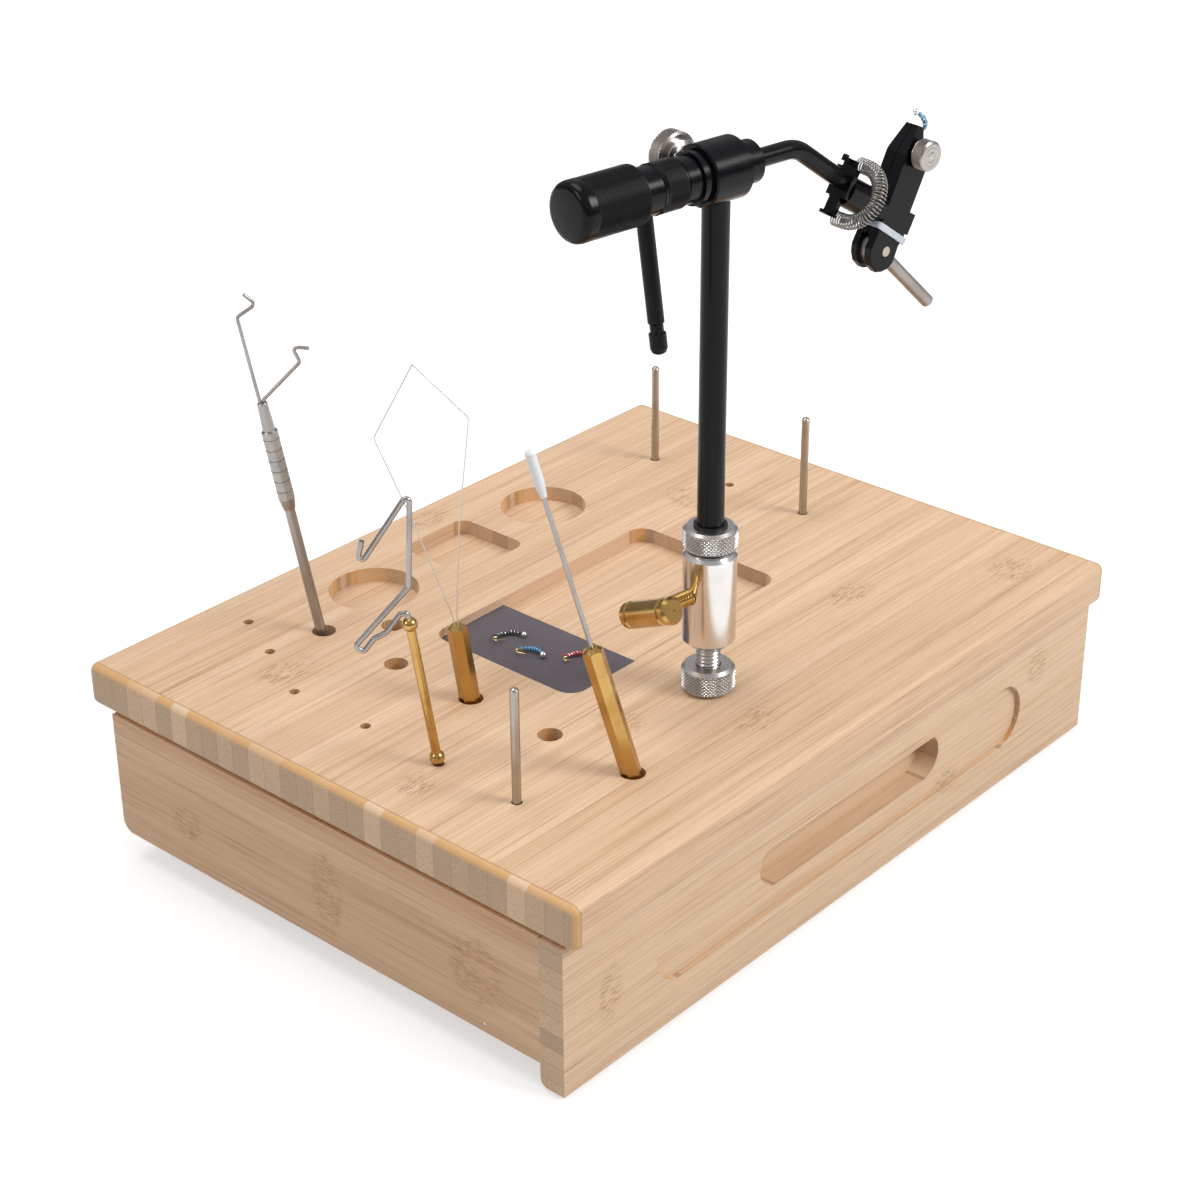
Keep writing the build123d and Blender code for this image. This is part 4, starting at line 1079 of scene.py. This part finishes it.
@dataclass
class ViseHead:
    """Rotary head: housing, knob, crank, arm, spring, jaws, screw, cam lever and band."""

    finishes: Finishes
    knob_from: float = -62.9
    knob_to: float = -35.8
    knob_radius: float = 10.2
    knob_smooth: float = 5.2
    knob_teeth: int = 74
    ring_from: float = -27.7
    ring_to: float = -18.2
    ring_radius: float = 8.54
    bar_centre: Pair = (56.6, -18.4)
    bar_turn: float = 58.5
    bar_thick: float = 2.0
    spring_coil: float = 2.5
    spring_wire: float = 0.29
    spring_bend: float = 9.8
    spring_straight: float = 4.2
    spring_turns: int = 37
    lock_radius: float = 8.4
    lock_from: float = 18.6
    lock_to: float = 24.8
    jaw_screw: Pair = (90.5, -12.6)
    screw_radius: float = 5.5
    screw_from: float = 5.5
    screw_to: float = 10.5
    winds: int = 6

    def dress(self) -> None:
        """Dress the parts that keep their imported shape."""
        give = self.finishes.dress
        give((
            "housing", "rotor_shaft", "rotor_collar", "crank_neck", "crank_rod", "arm", "spring_bar",
            "jaw_far", "jaw_near",
        ), "black anodised")
        give(("cam_pin",), "brushed steel")
        give(("jaw_band",), "clear band")
        give(("cam_lever",), "lever steel")

    def knob(self, knurl: bpy.types.GeometryNodeTree) -> bpy.types.Object:
        """Crank knob: smooth rounded front, fine diamond knurl behind it."""
        place = HEAD @ ALONG_AXIS
        front = self.knob_from
        r = self.knob_radius
        edge = front + self.knob_smooth
        rounding = ((0.0, 2.6), (0.25, 1.6), (0.8, 0.75), (1.7, 0.2), (2.8, 0.0))
        rounded = [(front + back, r - down) for back, down in rounding]
        face = Former().lathe([(front, 0.6), *rounded, (edge, r), (edge, r - 1.0)], 96)
        cap = face.make("knob_front", place, [self.finishes["black anodised"]])
        grip = grown(
            "knob_grip", knurl, self.finishes["knurled black"], place, FINE_SHARP, inner=5.2, outer=r,
            bottom=edge - 0.3, top=self.knob_to, chamfer=0.5, teeth=self.knob_teeth, rows=50, depth=0.28,
        )
        return joined("crank_knob_knurled", [cap, grip])

    def ring(self, knurl: bpy.types.GeometryNodeTree) -> bpy.types.Object:
        """Tension ring with a fine knurl."""
        return grown(
            "tension_ring_knurled", knurl, self.finishes["knurled black"], HEAD @ ALONG_AXIS, FINE_SHARP,
            inner=5.1, outer=self.ring_radius, bottom=self.ring_from, top=self.ring_to, chamfer=0.5,
            teeth=56, rows=18, depth=0.28,
        )

    def lock(self, knurl: bpy.types.GeometryNodeTree) -> bpy.types.Object:
        """Lock knob behind the housing: stepped hub and knurled rim."""
        place = HEAD @ Matrix.Rotation(math.radians(-90), 4, "X")
        hub = Former().lathe([
            (5.4, 0.4), (5.4, 2.45), (12.0, 2.45), (12.0, 4.6), (12.9, 4.6), (13.1, 4.2), (13.5, 4.2),
            (13.7, 4.6), (16.0, 4.6), (16.8, 6.0), (18.6, 6.0), (18.8, 7.0), (18.8, 1.0),
        ], 64).make("lock_hub", place, [self.finishes["polished steel"]])
        rim = grown(
            "lock_rim", knurl, self.finishes["knurled nickel"], place, KNURL_SHARP,
            inner=0.4, outer=self.lock_radius, bottom=self.lock_from, top=self.lock_to, chamfer=0.6,
            teeth=44, rows=10, depth=0.42,
        )
        return joined("lock_knob_knurled", [hub, rim])

    def screw(self, knurl: bpy.types.GeometryNodeTree) -> bpy.types.Object:
        """Jaw screw: knurled head with a turned face, and its shank."""
        across = Matrix.Rotation(math.radians(90), 4, "X")
        place = HEAD @ Matrix.Translation((self.jaw_screw[0], 0, self.jaw_screw[1])) @ across
        turned = [self.finishes["turned nickel"]]
        shank = Former().lathe([(-3.0, 0.3), (-3.0, 1.5), (5.8, 1.5), (5.8, 0.3)], 24)
        face = Former().lathe([
            (10.4, 5.0), (10.55, 4.9), (10.7, 4.6), (10.7, 3.4), (10.66, 3.3), (10.7, 3.2), (10.7, 1.9),
            (10.65, 1.8), (10.7, 1.7), (10.7, 0.5), (10.55, 0.3), (10.55, 0.05),
        ], 64)
        rim = grown(
            "screw_rim", knurl, self.finishes["knurled nickel"], place, KNURL_SHARP,
            inner=0.3, outer=self.screw_radius, bottom=self.screw_from, top=self.screw_to, chamfer=0.45,
            teeth=34, rows=10, depth=0.32,
        )
        smooth = [shank.make("screw_shank", place, turned), face.make("screw_face", place, turned)]
        return joined("jaw_screw_knurled", [*smooth, rim])

    def spring(self, coil: bpy.types.GeometryNodeTree) -> bpy.types.Object:
        """Material spring wound along its half circle."""
        front = self.bar_thick + self.spring_coil + 0.35
        place = (
            HEAD @ Matrix.Translation((self.bar_centre[0], 0, self.bar_centre[1]))
            @ Matrix.Rotation(math.radians(90 - self.bar_turn), 4, "Y") @ Matrix.Translation((front, 0, 0))
        )
        return grown(
            "material_spring_wound", coil, self.finishes["spring steel"], place, WIRE_SHARP,
            turns=self.spring_turns, coil=self.spring_coil, wire=self.spring_wire, bend=self.spring_bend,
            straight=self.spring_straight, steps=16,
        )

    def held_fly(self) -> bpy.types.Object:
        """Fly in the jaws: blue body on its hook, bead at the top."""
        place = HEAD @ Matrix.Translation((0, 0.3, 0)) @ Matrix.Rotation(math.radians(90), 4, "X")
        start, top = Vector((94.6, -9.8, 0)), Vector((93.2, 0.2, 0))
        middle = Vector((98.3, -5.0, 0))
        line = []
        for i in range(25):
            s = i / 24
            line.append(start * (1 - s) * (1 - 2 * s) + middle * 4 * s * (1 - s) + top * s * (2 * s - 1))
        form = Former()
        form.tube([Vector((91.6, -9.4, 0)), Vector((93.2, -9.65, 0))] + line, [0.24] * 27, 8, 0)
        body = line[7:23]
        girth = [0.45 + 0.45 * math.sin(math.pi * (i + 1) / 17) ** 0.6 for i in range(len(body))]
        form.tube(body, girth, 12, 1)
        wound = []
        fine = self.winds * WIND_STEPS
        for i in range(fine + 1):
            s = i / fine
            k = min(int(s * (len(body) - 1)), len(body) - 2)
            here = body[k].lerp(body[k + 1], s * (len(body) - 1) - k)
            ahead = (body[k + 1] - body[k]).normalized()
            wound.append(beside(here, ahead, math.tau * self.winds * s, girth[k] + 0.03))
        form.tube(wound, [0.12] * len(wound), 6, 2)
        form.lathe(bead_profile(1.15, 0.4), 20, 3, Matrix.Translation(top) @ ALONG_AXIS)
        wears = [self.finishes[name] for name in ("hook gold", "blue thread", "bead silver", "bead silver")]
        return form.make("fly_in_jaws_wound", place, wears)

    def build(self, knurl: bpy.types.GeometryNodeTree, coil: bpy.types.GeometryNodeTree) -> None:
        """Build every fine piece of the head.

        Args:
            knurl: tree of a knurled wheel.
            coil: tree of the wound spring.
        """
        settle((
            (self.knob(knurl), "rotor", "crank_knob"),
            (self.ring(knurl), "tension_ring", "tension_ring"),
            (self.lock(knurl), "lock_knob", "lock_knob"),
            (self.screw(knurl), "jaw_screw", "jaw_screw"),
            (self.spring(coil), "rotor", "material_spring"),
            (self.held_fly(), "rotor", "fly_in_jaws"),
        ))


@dataclass
class HandTools:
    """Whip finisher, bent finisher, threader and dubbing needle."""

    finishes: Finishes

    def dress(self) -> None:
        """Dress the tools."""
        give = self.finishes.dress
        give(("whip_rod", "whip_grip"), "tool steel")
        give(("whip_hooks", "finisher_wire", "needle"), "tool steel")
        give(("threader_loop",), "zinc")
        give(("finisher_handle", "threader_handle", "needle_handle"), "brass")
        give(("needle_cap",), "white cap")


# ---------------------------------------------------------------- light and camera
@dataclass
class Studio:
    """Pale floor, soft lights and the camera at the photograph's angle."""

    focal: float = 2542.36
    picture: float = 1200.0
    azimuth: float = -48.4895
    elevation: float = 28.2799
    roll: float = -0.3432
    eye: Point = (-637.21, -557.11, 538.14)
    sensor: float = 36.0
    world_level: float = 0.43
    lamps: tuple[tuple[str, Point, float, float], ...] = field(default=(
        ("key", (0.75, -1.75, 1.55), 1.1, 36.0),
        ("top", (-0.2, 0.6, 2.3), 1.6, 22.0),
        ("rim", (-1.9, 0.7, 1.2), 0.8, 8.0),
    ))

    def camera(self) -> None:
        """Set the camera."""
        a, e, r = (math.radians(value) for value in (self.azimuth, self.elevation, self.roll))
        back = Vector((math.sin(a) * math.cos(e), -math.cos(a) * math.cos(e), math.sin(e)))
        right = Vector((math.cos(a), math.sin(a), 0))
        up = back.cross(right)
        right, up = right * math.cos(r) + up * math.sin(r), up * math.cos(r) - right * math.sin(r)
        data = bpy.data.cameras.new("camera")
        data.sensor_width = self.sensor
        data.lens = self.focal / self.picture * self.sensor
        data.clip_start, data.clip_end = 0.05, 30.0
        camera = bpy.data.objects.new("camera", data)
        turn = Matrix((right, up, back)).transposed()
        camera.matrix_world = Matrix.Translation(Vector(self.eye) * MM) @ turn.to_4x4()
        bpy.context.scene.collection.objects.link(camera)
        bpy.context.scene.camera = camera

    def floor(self) -> None:
        """Lay the pale floor."""
        mesh = bpy.data.meshes.new("floor")
        size = 6.0
        corners = [(x * size, y * size, 0) for x, y in ((-1, -1), (1, -1), (1, 1), (-1, 1))]
        mesh.from_pydata(corners, [], [(0, 1, 2, 3)])
        floor = bpy.data.objects.new("floor", mesh)
        bpy.context.scene.collection.objects.link(floor)
        shade = Shade("floor")
        shade.finish((0.62, 0.62, 0.62), 0.9, Specular_IOR_Level=0.1)
        paths = shade.node("ShaderNodeLightPath").outputs
        mirrored = shade.math("MAXIMUM", paths["Is Glossy Ray"], paths["Is Transmission Ray"])
        seen = shade.math("MAXIMUM", paths["Is Camera Ray"], mirrored)
        shade.shader.inputs["Emission Color"].default_value = (1, 1, 1, 1)
        shade.feed(shade.shader.inputs["Emission Strength"], shade.times(seen, 0.52))
        mesh.materials.append(shade.material)

    def world(self) -> None:
        """Light the room evenly, a little darker near the horizon."""
        world = bpy.data.worlds.new("room")
        world.use_nodes = True
        bpy.context.scene.world = world
        nodes, links = world.node_tree.nodes, world.node_tree.links
        background = nodes["Background"]
        coords = nodes.new("ShaderNodeTexCoord")
        parts = nodes.new("ShaderNodeSeparateXYZ")
        links.new(coords.outputs["Generated"], parts.inputs[0])
        ramp = nodes.new("ShaderNodeValToRGB")
        links.new(parts.outputs["Z"], ramp.inputs[0])
        stops = ((0.0, 0.30), (0.12, 0.42), (0.35, 1.0), (0.6, 1.25), (1.0, 1.0))
        while len(ramp.color_ramp.elements) < len(stops):
            ramp.color_ramp.elements.new(0.5)
        for element, (place, level) in zip(ramp.color_ramp.elements, stops):
            element.position = place
            element.color = (level, level, level * 1.01, 1)
        paths = nodes.new("ShaderNodeLightPath")
        mix = nodes.new("ShaderNodeMix")
        mix.data_type = "RGBA"
        links.new(paths.outputs["Is Camera Ray"], mix.inputs[0])
        links.new(ramp.outputs[0], mix.inputs[6])
        mix.inputs[7].default_value = (1, 1, 1, 1)
        links.new(mix.outputs[2], background.inputs["Color"])
        level = nodes.new("ShaderNodeMapRange")
        links.new(paths.outputs["Is Camera Ray"], level.inputs[0])
        level.inputs[3].default_value = self.world_level
        level.inputs[4].default_value = 1.0
        links.new(level.outputs[0], background.inputs["Strength"])

    def lights(self) -> None:
        """Hang the soft lamps."""
        for name, place, size, power in self.lamps:
            data = bpy.data.lights.new(name, "AREA")
            data.shape = "DISK"
            data.size = size
            data.energy = power
            lamp = bpy.data.objects.new(name, data)
            lamp.location = place
            lamp.rotation_mode = "QUATERNION"
            lamp.rotation_quaternion = (Vector(place) - Vector((0, 0, 0.08))).to_track_quat("Z", "Y")
            bpy.context.scene.collection.objects.link(lamp)

    def set_up(self) -> None:
        """Make the whole studio."""
        self.camera()
        self.floor()
        self.world()
        self.lights()
        bpy.context.scene.view_settings.view_transform = "Standard"


def main() -> None:
    """Build the dressed cabinet."""
    logging.basicConfig(level=logging.INFO, format="%(message)s")
    finishes = Finishes()
    knurl, thread, coil = knurl_tree(), thread_tree(), coil_tree()
    Cabinet(finishes).dress()
    for row in (
        ("fly_black", "fly_a", (-40.9, 22.7), (-32.6, 16.1), 2.6, 1.15, "black thread", "bead silver"),
        ("fly_blue", "fly_b", (-41.9, 9.3), (-39.5, 0.2), 2.4, 1.3, "blue thread", "black thread"),
        ("fly_red", "fly_c", (-35.0, -7.2), (-27.6, -13.4), 2.2, 1.15, "red thread", "bead silver"),
    ):
        LooseFly(*row, finishes).build()
    column = Column(finishes)
    column.dress()
    column.build(knurl, thread)
    head = ViseHead(finishes)
    head.dress()
    head.build(knurl, coil)
    HandTools(finishes).dress()
    Studio().set_up()


if __name__ == "__main__":
    main()
